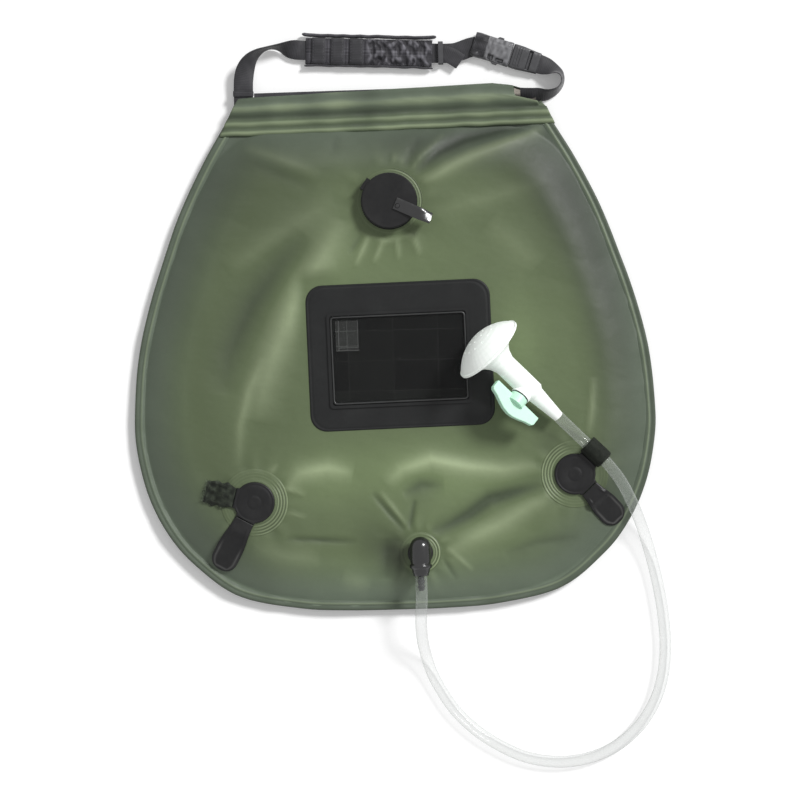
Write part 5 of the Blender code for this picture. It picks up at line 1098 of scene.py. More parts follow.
# %% Grip pad
GRIP_MIDDLE, GRIP_ROLL, GRIP_LEVEL = (-0.0168, 0.3204), math.radians(-2.8), 0.0055
PAD_HALF_LENGTH, PAD_HALF_WIDTH, PAD_SHIFT, PAD_UNDER = 0.0655, 0.0137, 0.0006, 0.0042
BAND_PLACES = (-0.0520, -0.0325, -0.0130)
QUILT_START = -0.004


def on_grip(u, v, n):
    c, s = math.cos(GRIP_ROLL), math.sin(GRIP_ROLL)
    return np.stack([GRIP_MIDDLE[0] + u * c - v * s, GRIP_MIDDLE[1] + u * s + v * c, GRIP_LEVEL + n], -1)


def pad_top(u, v):
    """Height of the pad's upper side over its middle."""
    seams = [place + side * 0.0082 for place in BAND_PLACES for side in (-1, 1)]
    sewn = sum(np.exp(-((u - seam) / 0.0011) ** 2) for seam in seams)
    quilted = ease((u - QUILT_START) / 0.006)
    lumps = 0.0010 * waves(u, v, 0.0050, 61, 14) + 0.0006 * waves(u, v, 0.0026, 65, 14)
    return 0.0045 - 0.0008 * sewn + quilted * lumps + 0.0003 * (1 - quilted)


u = np.linspace(-PAD_HALF_LENGTH, PAD_HALF_LENGTH, 260)[:, None]
phi = np.linspace(0, 2 * np.pi, 96, endpoint=False)[None, :]
upper = np.sin(phi) > 0
v = PAD_HALF_WIDTH * np.sign(np.cos(phi)) * np.abs(np.cos(phi)) ** 0.45 - PAD_SHIFT + 0 * u
swell = np.abs(np.sin(phi)) ** 0.75 * (1 - (np.abs(u) / 0.0657) ** 16) ** 0.5
n = np.where(upper, pad_top(u, v), -PAD_UNDER) * swell
# The tone mask makes the crests of the quilted lumps lighter, partly as wear and partly as a painted
# highlight, and the smooth left part a little darker.
tone = np.where(upper, (pad_top(u, v) - 0.0048) / 0.0016, 0)
tone = np.where(u > QUILT_START, tone, -0.10)
pad_mesh = grid_mesh("grip_cushion", on_grip(u + 0 * v, v, n), wrap=True, caps=True,
                     u=np.linspace(0, 0.085, 97), v=u[:, 0])
mark(pad_mesh, tone=np.clip(tone, -0.4, 0.55))
pad_mesh = tidy_mesh(pad_mesh)
grip_cushion = add_piece("grip_cushion", pad_mesh, grip_cloth, "strap", ["grip_pad"])
print("pad", len(pad_mesh.vertices), "points")

# %% [markdown]
# Bound edges close the pad along both sides and stand past its ends. They are soft rolls, which a
# plain cylinder would make stiff, so each is an oval tube with a slight waviness and pinched tips.
# Three bands of webbing are sewn across the pad and follow its crown.

# %% Grip edges and bands
TIP_LENGTH, EDGE_HALF_HEIGHT, BAND_HALF_WIDTH = 0.0038, 0.0034, 0.00675
GRIP_ROLLS = (  # name, the edge it stands for, side, middle, radius, half length
    ("grip_roll_upper", "grip_edge_upper", 1, 0.0156, 0.0019, 0.0697),
    ("grip_roll_lower", "grip_edge_lower", -1, -0.0152, 0.0012, 0.0668),
)
BAND_SECTION = np.array((  # across and up, as shares of half the width and of the thickness
    (-1, 0.1), (-0.97, 0.7), (-0.9, 1), (-0.5, 1.02), (0, 1.05), (0.5, 1.02), (0.9, 1), (0.97, 0.7),
    (1, 0.1), (0.9, 0), (0, 0), (-0.9, 0)))


def pad_crown(v):
    """Height of the pad under a band, over its middle."""
    return 0.0046 * (1 - (np.abs(v + PAD_SHIFT) / 0.0143) ** 6) ** 0.5


for name, stands, side, middle, radius, reach in GRIP_ROLLS:
    inner = reach - TIP_LENGTH
    u = np.r_[np.linspace(-reach, -inner, 8), np.linspace(-inner, inner, 130)[1:-1],
              np.linspace(inner, reach, 8)][:, None]
    phi = np.linspace(0, 2 * np.pi, 20, endpoint=False)[None, :]
    tip = np.clip(1 - np.clip((np.abs(u) - inner) / TIP_LENGTH, 0, 1) ** 2, 0.02, 1) ** 0.5
    wobble = 0.00025 * waves(u, u * 0 + side, 0.008, 62)
    spread = side * 0.0010 * np.clip((np.abs(u) - 0.055) / 0.015, 0, 1)
    v = middle + spread + wobble + radius * tip * np.cos(phi)
    n = EDGE_HALF_HEIGHT * tip * np.sin(phi) + 0.0004 * waves(u, u * 0 + side, 0.015, 63)
    points = on_grip(u + 0 * v, v, n)
    mesh = grid_mesh(name, points, wrap=True, caps=True, u=np.linspace(0, 0.018, 21), v=u[:, 0])
    add_piece(name, tidy_mesh(mesh), grip_cloth, "strap", [stands])
w, up = BAND_SECTION.T[:, None]
for index, band_place in enumerate(BAND_PLACES):
    name = f"grip_strip_{index + 1}"
    v = np.linspace(-0.0140, 0.0132, 40)[:, None]
    n = pad_crown(v) + up * 0.0013 + 0.0002 * waves(v, v * 0 + index, 0.006, 64) * up
    points = on_grip(band_place + w * BAND_HALF_WIDTH + 0 * v, v + 0 * w, n)
    mesh = grid_mesh(name, points, wrap=True, caps=True, u=np.r_[w[0], -1] * BAND_HALF_WIDTH, v=v[:, 0])
    add_piece(name, tidy_mesh(mesh), webbing_nylon, "strap", [f"grip_band_{index + 1}"],
              sharp=50)
print("grip pieces", 1 + len(GRIP_ROLLS) + len(BAND_PLACES))

# %% [markdown]
# Stitches are short pieces of thread, sunk at both ends. A bump could only hint at them, so one
# small tube is copied along each sewn line, which is cheap and stays crisp in a close view.


# %% Stitches
def tube_faces(base, sides, rings=4):
    """The faces of a small open tube whose points start at base."""
    return [[base + r * sides + c, base + r * sides + (c + 1) % sides,
             base + (r + 1) * sides + (c + 1) % sides, base + (r + 1) * sides + c]
            for r in range(rings - 1) for c in range(sides)]


def stitch_row(line, up, length, pitch, radius=0.00022):
    """Points of the stitches along a line of places with their up directions, four rings of six each."""
    run = run_along(line)
    points = []
    for start in np.arange(pitch / 2, run[-1] - length, pitch):
        ends = [np.array([np.interp(start + t * length, run, line[:, i]) for i in range(3)])
                for t in (0, 0.3, 0.7, 1)]
        normal = np.array([np.interp(start, run, up[:, i]) for i in range(3)])
        side = np.cross(ends[3] - ends[0], normal)
        side /= np.linalg.norm(side)
        for centre, lift, size in zip(ends, (-0.5, 0.7, 0.7, -0.5), (0.5, 1, 1, 0.5)):
            for angle in np.arange(6) * np.pi / 3:
                points.append(centre + normal * radius * (lift + size * math.sin(angle))
                              + side * radius * size * math.cos(angle))
    return points


def stitches(name, rows, material, body, length=0.0022, pitch=0.0030):
    points = [point for line, up in rows for point in stitch_row(line, up, length, pitch)]
    faces = [face for base in range(0, len(points), 24) for face in tube_faces(base, 6)]
    mesh = bpy.data.meshes.new(name)
    mesh.from_pydata([tuple(p) for p in points], [], faces)
    mesh.uv_layers.new(name="metres")
    print(name, len(points) // 24, "stitches")
    return add_piece(name, mesh, material, body)


# %% Sewn lines of the grip
thread_grey = woven_material("thread_grey", (0.050, 0.049, 0.058, 1), (0.14, 0.135, 0.15, 1),
                             roughness=0.6, pitch=0.0006, depth=0.00005)
grip_rows = []
for seam in [band_place + side * 0.0054 for band_place in BAND_PLACES for side in (-1, 1)]:
    v = np.linspace(-0.0128, 0.0116, 16)
    line = on_grip(np.full(16, seam), v, pad_crown(v) + 0.00135)
    grip_rows.append((line, np.tile((0, 0, 1.0), (16, 1))))
for side in (-1, 1):
    u, v = np.linspace(-0.0640, 0.0640, 60), np.full(60, side * 0.0126 - PAD_SHIFT)
    line = on_grip(u, v, 0.0008 + pad_top(u, v) * 0.66)
    grip_rows.append((line, np.tile((0, side * 0.5, 0.87), (60, 1))))
stitches("grip_stitches", grip_rows, thread_grey, "strap")

# %% [markdown]
# A hose tie is moulded rubber: a disc with a long and a short tongue that wrap the hose. A cut
# sheet would lie straight through the folds, so a tongue's height follows the front under it. It
# narrows at its neck, and a thin raised line runs round it, a few millimetres inside its edge, with
# a painted highlight along it near the tip. The tongue that wear has frayed has a ragged edge instead.

# %% Tongues of the hose ties
ROOT, DISC_TOP, TONGUE_THICKNESS, TONGUE_GAP = 0.0213, 0.0339, 0.0020, 0.0005
NECK_HALF_WIDTH, LINE_INSET = 0.0103, 0.0033


def from_tie(place, heading, r, side):
    """Places at a distance from a tie along a heading in radians, and to the side of it."""
    return (place[0] + math.cos(heading) * r - math.sin(heading) * side,
            place[1] + math.sin(heading) * r + math.cos(heading) * side)


def tongue(name, place, degrees, length, width, tip, body, stands_for, material, neck, ragged=0.0):
    """A tongue that leaves its disc at this heading; tip is the round end, ragged the wear."""
    r = np.r_[np.linspace(ROOT, length - tip, 44),
              length - tip + tip * np.sin(np.linspace(0, np.pi / 2, 22))[1:]][:, None]
    past = np.clip((r - (length - tip)) / tip, 0, 1)
    half = np.maximum(width / 2 - tip * (1 - np.sqrt(1 - past ** 2)), 0.0004)
    half = np.minimum(half, width / 2 - (width / 2 - NECK_HALF_WIDTH) * (1 - ease((r - ROOT) / neck)))
    c = np.r_[np.linspace(-1, 1, 27), np.linspace(1, -1, 27)][None, :]
    upper = np.arange(c.size)[None, :] < 27
    worn_away = ragged * ease((r - ROOT) / 0.008) * waves(r, c * 0.012, 0.0045, 75, 14)
    side = c * half + worn_away
    r = r + worn_away * 0.8 * np.abs(past)
    x, y = from_tie(place, math.radians(degrees), r, side)
    ground = front_parts(x, y)[0].max(axis=1)
    ground = np.convolve(np.pad(ground, 4, mode="edge"), np.ones(9) / 9, "valid")[:, None]
    free = ease((r - 0.033) / 0.009)
    bottom = (DISC_TOP - TONGUE_THICKNESS) * (1 - free) + (ground + TONGUE_GAP) * free
    edge = np.minimum((1 - np.abs(c)) * half, length - r)
    line = 0.00075 * np.exp(-((edge - LINE_INSET) / 0.0008) ** 2) * ease((r - 0.026) / 0.006)
    rounded = np.exp(-edge / 0.0006)
    top = bottom + TONGUE_THICKNESS + line - 0.0008 * rounded + 0.00012 * waves(x, y, 0.010, 71)
    z = np.where(upper, top, bottom + 0.0004 * rounded)
    mesh = grid_mesh(name, np.dstack([x, y, z]), wrap=True, caps=True)
    # A painted highlight along the raised line near the tip, stored in the wear mask.
    painted_lip_highlight = 0.90 * np.exp(-((edge - LINE_INSET) / 0.0009) ** 2) * ease((r - length + 0.034) / 0.014) * upper
    mark(mesh, worn=np.clip(0.22 + 0.26 * waves(r, side, 0.0040, 76, 14), 0, 0.6) if ragged else painted_lip_highlight)
    return add_piece(name, tidy_mesh(mesh), material, body, stands_for)


TIE_HEADINGS = {"left": (240.5, 165), "right": (-47.5, 45)}  # of the long and the short tongue
LONG_WIDTH, LONG_TIP = 0.0275, 0.0132
LONG_TONGUES = (("left", TIE_LEFT, 0.079, 0.034), ("right", TIE_RIGHT, 0.069, 0.026))
for side, place, length, neck in LONG_TONGUES:
    tongue(f"tongue_{side}_long", place, TIE_HEADINGS[side][0], length, LONG_WIDTH, LONG_TIP,
           f"tongue_long_{side}", [f"long_tongue_{side}"], black_rubber, neck)
print("long tongues", len(LONG_TONGUES))

# %% [markdown]
# The short tongues carry hook tape. A rough bump would still end in a clean outline, so its fuzz
# is a bed of very small bent fibres over a lumpy strip, longer and looser at the worn end of the
# left one.

# %% Fibres of hook tape
hook_tape = dark_material("hook_tape", (0.010, 0.012, 0.009, 1), (0.070, 0.085, 0.060, 1),
                          roughness=0.80, grain_size=0.0008, grain_depth=0.00040)
pale_fibre = dark_material("pale_fibre", (0.17, 0.21, 0.14, 1), (0.30, 0.34, 0.26, 1),
                           roughness=0.75, grain_size=0.0008, grain_depth=0.00005)


def fibres(name, hairs, material, body, radius=0.00011):
    """Thin bent hairs of root, direction and length, each a three sided tube of four rings."""
    points = []
    for root, direction, length in hairs:
        for t in (0, 1 / 3, 2 / 3, 1):
            centre = root + direction * length * t + np.array((0, 0, 0.45 * length * math.sin(t * 2.4)))
            for angle in (0, 2.09, 4.19):
                out = np.array((math.cos(angle), math.sin(angle), 0.5 * math.sin(angle + 1)))
                points.append(centre + radius * (1 - 0.7 * t) * out)
    faces = [face for base in range(0, len(points), 12) for face in tube_faces(base, 3)]
    mesh = bpy.data.meshes.new(name)
    mesh.from_pydata([tuple(p) for p in points], [], faces)
    print(name, len(hairs), "fibres")
    return add_piece(name, mesh, material, body)


# %% Worn left tongue
TAPE_LENGTH, TAPE_WIDTH, TAPE_TIP, TAPE_NECK, TAPE_WEAR = 0.053, 0.0255, 0.006, 0.010, 0.0011
FUZZ_COUNT, FRAY_COUNT = 900, 150
tape_left = tongue("tongue_left_short", TIE_LEFT, TIE_HEADINGS["left"][1], TAPE_LENGTH, TAPE_WIDTH, TAPE_TIP,
                   "tongue_short_left", ["short_tongue_left"], hook_tape, TAPE_NECK, ragged=TAPE_WEAR)
rng = np.random.default_rng(5)
ahead = math.radians(TIE_HEADINGS["left"][1])
ahead = np.array((math.cos(ahead), math.sin(ahead), 0))
sideways = np.array((-ahead[1], ahead[0], 0))
tape_points = np.array([v.co for v in tape_left.data.vertices])
reach, offset = (tape_points - (*TIE_LEFT, 0)) @ ahead, (tape_points - (*TIE_LEFT, 0)) @ sideways


def on_tape(r, s, count, pick):
    """A place on the left tape, at the height that pick takes from its nearest points."""
    nearest = np.argsort(np.hypot(reach - r, offset - s))[:count]
    return np.array((*TIE_LEFT, 0)) + ahead * r + sideways * s + (0, 0, pick(tape_points[nearest, 2]))


hairs = []
for _ in range(FUZZ_COUNT):
    r, s = rng.uniform(0.026, 0.0515), rng.uniform(-0.0115, 0.0115)
    turn = rng.uniform(0, 2 * np.pi)
    direction = ahead * math.cos(turn) + sideways * math.sin(turn)
    hairs.append((on_tape(r, s, 6, np.max) - (0, 0, 0.0002), direction, rng.uniform(0.0008, 0.0018)))
fibres("tape_fuzz_left", hairs, hook_tape, "tongue_short_left")
hairs = []
for _ in range(FRAY_COUNT):
    s = rng.uniform(-0.0120, 0.0120)
    at_end = abs(s) < 0.0105
    end = rng.uniform(0.0500, 0.0525) if at_end else rng.uniform(0.030, 0.052)
    turn = rng.normal(0, 0.5) + (0 if at_end else math.copysign(1.1, s))
    direction = ahead * math.cos(turn) + sideways * math.sin(turn) - (0, 0, 0.15)
    hairs.append((on_tape(end, s, 4, np.mean), direction, rng.uniform(0.0020, 0.0055)))
fibres("tape_fray_left", hairs, pale_fibre, "tongue_short_left")

# %% [markdown]
# On the right the short tongue is closed over the hose. Bending the flat one with a modifier would
# not follow the hose, so its side view is a smooth line that rises from the disc, passes over the
# hose and comes down on its far side, and cross sections follow that line.

# %% Closed tongue over the hose
LOOP_VIEW = ((0.0213, 0.0330), (0.0229, 0.0348), (0.0243, 0.0411), (0.0278, 0.0444), (0.0334, 0.0444),
             (0.0376, 0.0404), (0.0396, 0.0350), (0.0404, 0.0316))
LOOP_HALF_WIDTH, LOOP_HALF_THICKNESS, LOOP_FUZZ_COUNT = 0.01275, 0.0008, 700
view = smooth_route([(r, 0, z) for r, z in LOOP_VIEW], 0.0008)
slope = np.gradient(view, axis=0)
normal = np.stack([-slope[:, 2], slope[:, 0]], -1) / np.linalg.norm(slope, axis=1, keepdims=True)
c = np.r_[np.linspace(-1, 1, 25), np.linspace(1, -1, 25)][None, :]
lift = np.where(np.arange(50)[None, :] < 25, 1, -1) * LOOP_HALF_THICKNESS * (1 - 0.7 * np.abs(c) ** 16)
side = c * LOOP_HALF_WIDTH * (1 - 0.04 * np.abs(np.sin(view[:, :1] * 260)))
r, z = view[:, :1] + normal[:, :1] * lift, view[:, 2:] + normal[:, 1:] * lift
z = z + 0.00018 * waves(r, side, 0.0035, 72) * (lift > 0)
heading = math.radians(TIE_HEADINGS["right"][1])
points = np.dstack([*from_tie(TIE_RIGHT, heading, r, side), z])
mesh = grid_mesh("tongue_right_short", points, wrap=True, caps=True)
add_piece("tongue_right_short", tidy_mesh(mesh), hook_tape, "tongue_short_right",
          ["short_tongue_right"])
hairs = []
for _ in range(LOOP_FUZZ_COUNT):
    row, s = rng.integers(6, len(view) - 3), rng.uniform(-0.0118, 0.0118)
    root = np.array((*from_tie(TIE_RIGHT, heading, view[row, 0], s), view[row, 2] + 0.0007))
    turn = rng.uniform(0, 2 * np.pi)
    hairs.append((root, np.array((math.cos(turn), math.sin(turn), 0)), rng.uniform(0.0008, 0.0017)))
fibres("tape_fuzz_right", hairs, hook_tape, "tongue_short_right")

# %% [markdown]
# The discs of the ties are nearly flat, with a soft edge, a shallow groove round the border and a
# low dome in the middle. A Screw modifier would turn them fully round, but towards each tongue
# the border reaches out to meet its root, so the turned profile is stretched there.

# %% Discs of the hose ties
DISC_PROFILE = np.array((  # radius and height
    (0.0002, 0.0341), (0.0040, 0.0341), (0.0062, 0.0340), (0.0070, 0.0337), (0.0078, 0.0337),
    (0.0088, 0.0339), (0.0150, 0.0339), (0.0172, 0.0339), (0.0180, 0.0336), (0.0187, 0.0336),
    (0.0193, 0.0339), (0.0200, 0.0339), (0.0207, 0.0335), (0.0210, 0.0329), (0.0210, 0.0318),
    (0.0206, 0.0314)))
angle = np.linspace(0, 2 * np.pi, 160, endpoint=False)[None, :]
disc_radius, disc_height = DISC_PROFILE[:, :1], DISC_PROFILE[:, 1:]
for side, place in (("left", TIE_LEFT), ("right", TIE_RIGHT)):
    stretch = 0 * angle
    for heading in np.radians(TIE_HEADINGS[side]):
        turn = np.abs((angle - heading + np.pi) % (2 * np.pi) - np.pi)
        near = 1 - ease((turn - 0.45) / 0.09)
        stretch = np.maximum(stretch, (1 / np.cos(np.minimum(turn, 0.55)) - 1) * near)
    radius = disc_radius * (1 + stretch * ease((disc_radius - 0.0185) / 0.0022))
    points = np.dstack([place[0] + radius * np.cos(angle), place[1] + radius * np.sin(angle),
                        disc_height + 0 * angle])
    mesh = tidy_mesh(grid_mesh(f"disc_{side}", points, wrap=True))
    add_piece(f"disc_{side}", mesh, black_rubber, "bag", [f"tie_disc_{side}"])
print("discs", len(TIE_HEADINGS))

# %% [markdown]
# The outlet is a rubber elbow that lies on a low flange. A bead closes it, and the hose is pushed
# over a barbed spigot, whose two sharp rings show dark through the clear wall. All three are round
# about an axis, so each is a profile turned about it, which is quicker than any modelling by hand.

# %% Outlet elbow and barb
HOSE_LEVEL, ELBOW_START, BARB_START = 0.0430, -0.1810, -0.2212
ELBOW_RADIUS = 0.0108
ELBOW_PROFILE = (
    (0.0109, 0.0180), (0.0106, 0.0250), (0.0101, 0.0272), (0.0102, 0.0280), (0.0113, 0.0286),
    (0.0116, 0.0300), (0.0113, 0.0316), (0.0101, 0.0324), (0.0094, 0.0335), (0.0088, 0.0365),
    (0.0080, 0.0378), (0.0078, 0.0398), (0.0060, 0.0398),
)
FLANGE_PROFILE = ((0.0040, 0.0334), (0.0110, 0.0333), (0.0124, 0.0328), (0.0130, 0.0318), (0.0130, 0.0309))
BARB_PROFILE = (
    (0.0008, 0.0150), (0.0026, 0.0150), (0.0040, 0.0105), (0.0040, 0.0100), (0.0030, 0.0098),
    (0.0030, 0.0085), (0.0043, 0.0050), (0.0043, 0.0045), (0.0031, 0.0042), (0.0031, 0.0),
)
dome = [(ELBOW_RADIUS * math.sin(t), ELBOW_RADIUS * (1 - math.cos(t)))
        for t in np.linspace(0.05, np.pi / 2, 12)]
lying = Matrix.Rotation(math.radians(90), 4, "X")
elbow_mesh = turned("outlet_shell", (*dome, *ELBOW_PROFILE), 80)
elbow_mesh.transform(Matrix.Translation((OUTLET[0], ELBOW_START, HOSE_LEVEL)) @ lying)
add_piece("outlet_shell", elbow_mesh, gloss_rubber, "bag", ["outlet_elbow", "outlet_collar"])
flange_mesh = turned("outlet_flange", FLANGE_PROFILE, 80)
flange_mesh.transform(Matrix.Translation((*OUTLET, 0)))
add_piece("outlet_flange", flange_mesh, black_rubber, "bag")
barb_mesh = turned("outlet_barb", BARB_PROFILE, 48)
barb_mesh.transform(Matrix.Translation((OUTLET[0], BARB_START, HOSE_LEVEL)) @ lying)
add_piece("outlet_barb", barb_mesh, black_rubber, "bag")
print("barb", len(barb_mesh.vertices), "points")

# %% [markdown]
# The side release buckle has a socket, pale on top from wear and from a painted sheen, with two
# slots at its lower edge, and a darker ribbed clip. The webbing is folded over the socket's left bar.
# Boolean cuts would leave sharp rims, so one rounded block serves all three, and a function adds or
# takes height on top.

# %% Blocks of the buckle
BUCKLE_PLACE, BUCKLE_TURN = (0.0945, 0.3250, 0.0058), math.radians(-19)


def moulded_block(name, start, end, half, thick, top, material, stands_for, worn):
    """A rounded block along the buckle; the functions half, top and worn give its half width, the
    height that its upper side gains, and its pale wear, with a painted sheen on the socket."""
    c, s = math.cos(BUCKLE_TURN), math.sin(BUCKLE_TURN)
    u = np.linspace(start, end, 110)[:, None]
    phi = np.linspace(0, 2 * np.pi, 120, endpoint=False)[None, :]
    tip = np.clip(1 - np.abs((2 * u - start - end) / (end - start)) ** 26, 0.01, 1) ** 0.5
    v = half(u) * np.sign(np.cos(phi)) * np.abs(np.cos(phi)) ** 0.34 * (0.93 + 0.07 * tip)
    n = thick * np.sign(np.sin(phi)) * np.abs(np.sin(phi)) ** 0.5 * tip
    n = n + np.where(np.sin(phi) > 0.25, top(u, v) * tip, 0)
    points = np.dstack([u * c - v * s, u * s + v * c, n]) + BUCKLE_PLACE
    mesh = grid_mesh(name, points, wrap=True, caps=True, u=np.linspace(0, 0.06, 121), v=u[:, 0])
    wear = worn(u, v) + 0 * n
    mark(mesh, worn=wear, tone=wear)
    add_piece(name, tidy_mesh(mesh), material, "strap", stands_for)
    print(name, len(mesh.vertices), "points")


def bar(value, low, high, soft=0.0006):
    """1 between low and high and 0 outside, with soft ends."""
    return ease((value - low + soft) / (2 * soft)) * (1 - ease((value - high + soft) / (2 * soft)))


# %% Buckle
def socket_half(u):
    return 0.0131 - 0.0006 * np.sin(np.pi * u / 0.038)


def socket_slots(u, v):
    short_slot = bar(u, 0.0150, 0.0205) * bar(v, -0.0112, -0.0062)
    return short_slot + bar(u, 0.0240, 0.0315) * bar(v, -0.0115, -0.0078)


def socket_top(u, v):
    plate = 0.0005 * bar(v, -0.0030, 0.0092) * bar(u, 0.016, 0.034)
    return plate - 0.0026 * socket_slots(u, v) + 0.00022 * waves(u, v, 0.0040, 81)


def socket_worn(u, v):
    # Wear and a painted sheen, a little lighter on the upper side; the slots stay unworn.
    wear = 0.38 + 0.30 * waves(u, v, 0.0030, 82, 14) + 0.10 * (v > 0)
    return np.clip(wear, 0, 0.9) - 0.9 * socket_slots(u, v)


def clip_half(u):
    return 0.0126 - 0.0016 * ease((u - 0.045) / 0.022)


def clip_slot(u, v):
    return bar(u, 0.0558, 0.0592) * bar(v, -0.0098, 0.0098)


def clip_top(u, v):
    ridges = sum(bar(u, place, place + 0.0014, 0.0004) for place in (0.0420, 0.0448, 0.0476))
    ridges = 0.0007 * ridges * bar(v, -0.0095, 0.0095)
    return ridges - 0.0030 * clip_slot(u, v) - 0.0006 * ease((u - 0.050) / 0.015)


def clip_worn(u, v):
    return 0.10 * waves(u, v, 0.0030, 83) - 0.10 - 0.5 * clip_slot(u, v)


def fold_half(u):
    return 0.0123 + 0.0003 * np.cos(u * 400)


def fold_top(u, v):
    return 0.0006 * waves(u, v, 0.0050, 84)


def fold_worn(u, v):
    return np.clip(0.25 * waves(u, v, 0.0045, 85), -0.2, 0.45)


BUCKLE_BLOCKS = (  # name, start and end, half width, half thickness, top, material, node, wear
    ("buckle_socket_shell", 0.0, 0.0380, socket_half, 0.0043, socket_top, buckle_plastic, ["buckle_socket"],
     socket_worn),
    ("buckle_clip_shell", 0.0383, 0.0683, clip_half, 0.0041, clip_top, buckle_plastic, ["buckle_clip"],
     clip_worn),
    ("buckle_web_fold", -0.0030, 0.0118, fold_half, 0.0052, fold_top, webbing_nylon, [], fold_worn),
)
for block in BUCKLE_BLOCKS:
    moulded_block(*block)
print("buckle pieces", len(BUCKLE_BLOCKS))

# %% [markdown]
# The window has a rolled inner bead that catches the light, and the strip under it a printed
# frame. The bead is a ring of circles round the window's outline, and each line of the frame a
# thin box, since a flat line would flicker against the card.

# %% Window bead and strip frame
BEAD_RADIUS, BEAD_LEVEL = 0.0009, 0.0334
bead_vinyl = dark_material("bead_vinyl", (0.014, 0.015, 0.015, 1), (0.060, 0.060, 0.060, 1),
                           roughness=0.36, grain_size=0.0011, grain_depth=0.00006, gloss=0.6)
loop = on_label(rounded_outline(0.1370, 0.0885, 0.003) + WINDOW_SHIFT)
ahead = np.roll(loop, -1, 0) - np.roll(loop, 1, 0)
out = np.stack([ahead[:, 1], -ahead[:, 0]], -1) / np.linalg.norm(ahead, axis=1, keepdims=True)
turn = np.linspace(0, 2 * np.pi, 11)[:, None]
flat = loop[None] + out[None] * np.cos(turn)[..., None] * BEAD_RADIUS
height = BEAD_LEVEL + np.sin(turn) * BEAD_RADIUS + 0 * flat[..., 0]
bead_mesh = tidy_mesh(grid_mesh("window_bead", np.dstack([flat, height]), wrap=True))
add_piece("window_bead", bead_mesh, bead_vinyl, "bag")

STRIP_LINES = (  # left, right, lower and upper side of each printed line
    (-0.0560, -0.0551, 0.0112, 0.0415), (-0.0575, -0.0352, 0.0106, 0.0114),
    (-0.0560, -0.0352, 0.0138, 0.0145), (-0.0362, -0.0356, 0.0140, 0.0415),
)
STRIP_LEVEL, STRIP_THICKNESS = 0.0322, 0.0003
strip_ink = dark_material("strip_ink", (0.070, 0.072, 0.070, 1), (0.14, 0.14, 0.14, 1),
                          roughness=0.40, grain_size=0.0011, grain_depth=0.00003, gloss=0.3)
for index, (left, right, low, high) in enumerate(STRIP_LINES):
    middle = Vector(((left + right) / 2, (low + high) / 2, STRIP_LEVEL))
    size = Vector((right - left, high - low, STRIP_THICKNESS))
    work = bmesh.new()
    bmesh.ops.create_cube(work, size=1, matrix=Matrix.LocRotScale(middle, None, size))
    mesh = bpy.data.meshes.new(f"strip_line_{index + 1}")
    work.to_mesh(mesh)
    work.free()
    add_piece(mesh.name, mesh, strip_ink, "bag", sharp=30)
print("window pieces", 1 + len(STRIP_LINES))

# %% [markdown]
# The cap's pull tab is a soft strip that curls, so its end turns towards the light. It is made
# like the webbing, from a route with the angle of its edge.

# %% Pull tab
TAB_ROUTE = (
    (0.0060, 0.1600, 0.0456), (0.0130, 0.1568, 0.0461), (0.0220, 0.1525, 0.0470), (0.0300, 0.1487, 0.0478),
    (0.0350, 0.1465, 0.0476), (0.0390, 0.1447, 0.0469), (0.0422, 0.1432, 0.0462),
)
TAB_EDGE = (0, 0, 0, -3, -14, -22, -23)
pull_tab = webbing("pull_tab", TAB_ROUTE, TAB_EDGE, "cap", ["fill_tab"], width=0.0125, thickness=0.0018,
                   material=gloss_rubber, step=0.0008)
print("tab", len(pull_tab.data.vertices), "points")

# %% [markdown]
# The shower head is milky moulded plastic and its tap a pale green one. Both are smooth, with a
# faint clouding and a moulding grain. Light really passes into such plastic, but scattering takes
# long to render, so a small even glow stands in for it. That glow is painted light: it brightens
# both parts though neither is a lamp.


# %% Materials: moulded head and tap
def moulded_material(name, base, deep, roughness, glow):
    material, tree, sockets, place = start_material(name, Specular_IOR_Level=0.5, Emission_Color=base,
                                                    Emission_Strength=glow)
    broad, close, shade = two_mottlings(tree, place, (0.020, 0.03), (0.003, 0.015))
    clouded = mixed(tree, times(tree, maths(tree, "POWER", broad, 2.0), 0.6), base, deep)
    fine = placed(tree, grain, Place=place, Size=0.0016)["Height"]
    end_material(tree, sockets, clouded, shade, close, roughness, 0.15, bumped(tree, fine, 0.00005, 0.5))
    return material


head_plastic = moulded_material("head_plastic", (0.97, 1.0, 0.97, 1), (0.80, 0.96, 0.86, 1),
                                roughness=0.345, glow=0.14)
tap_plastic = moulded_material("tap_plastic", (0.60, 0.90, 0.72, 1), (0.38, 0.74, 0.54, 1),
                               roughness=0.365, glow=0.05)
print("moulded", head_plastic.name, tap_plastic.name)

# %% [markdown]
# Clear vinyl is nearly invisible where one looks straight through it and milky where the wall is
# seen edge on. Glass with refraction would need the tube's inner wall and many bounces of light,
# so Layer Weight gives that share of facing, and it drives the alpha.


# %% Materials: clear vinyl
def clear_material(name, tint, thin, thick, roughness, gloss):
    """Clear vinyl; thin and thick are its opacity seen straight on and edge on."""
    material, tree, sockets, place = start_material(name, IOR=1.45, Specular_IOR_Level=gloss)
    facing = add_node(tree, "ShaderNodeLayerWeight", {"Blend": 0.5}).outputs["Facing"]
    haze = placed(tree, mottling, Place=place, Size=0.015, Amount=0.05)
    wall = maths(tree, "MULTIPLY_ADD", maths(tree, "POWER", facing, 2.2), thick - thin, thin)
    wire(tree, sockets["Base Color"], shaded(tree, tint, haze["Shade"]))
    wire(tree, sockets["Alpha"], wall)
    wire(tree, sockets["Roughness"], times(tree, haze["Mask"], roughness * 2))
    return material


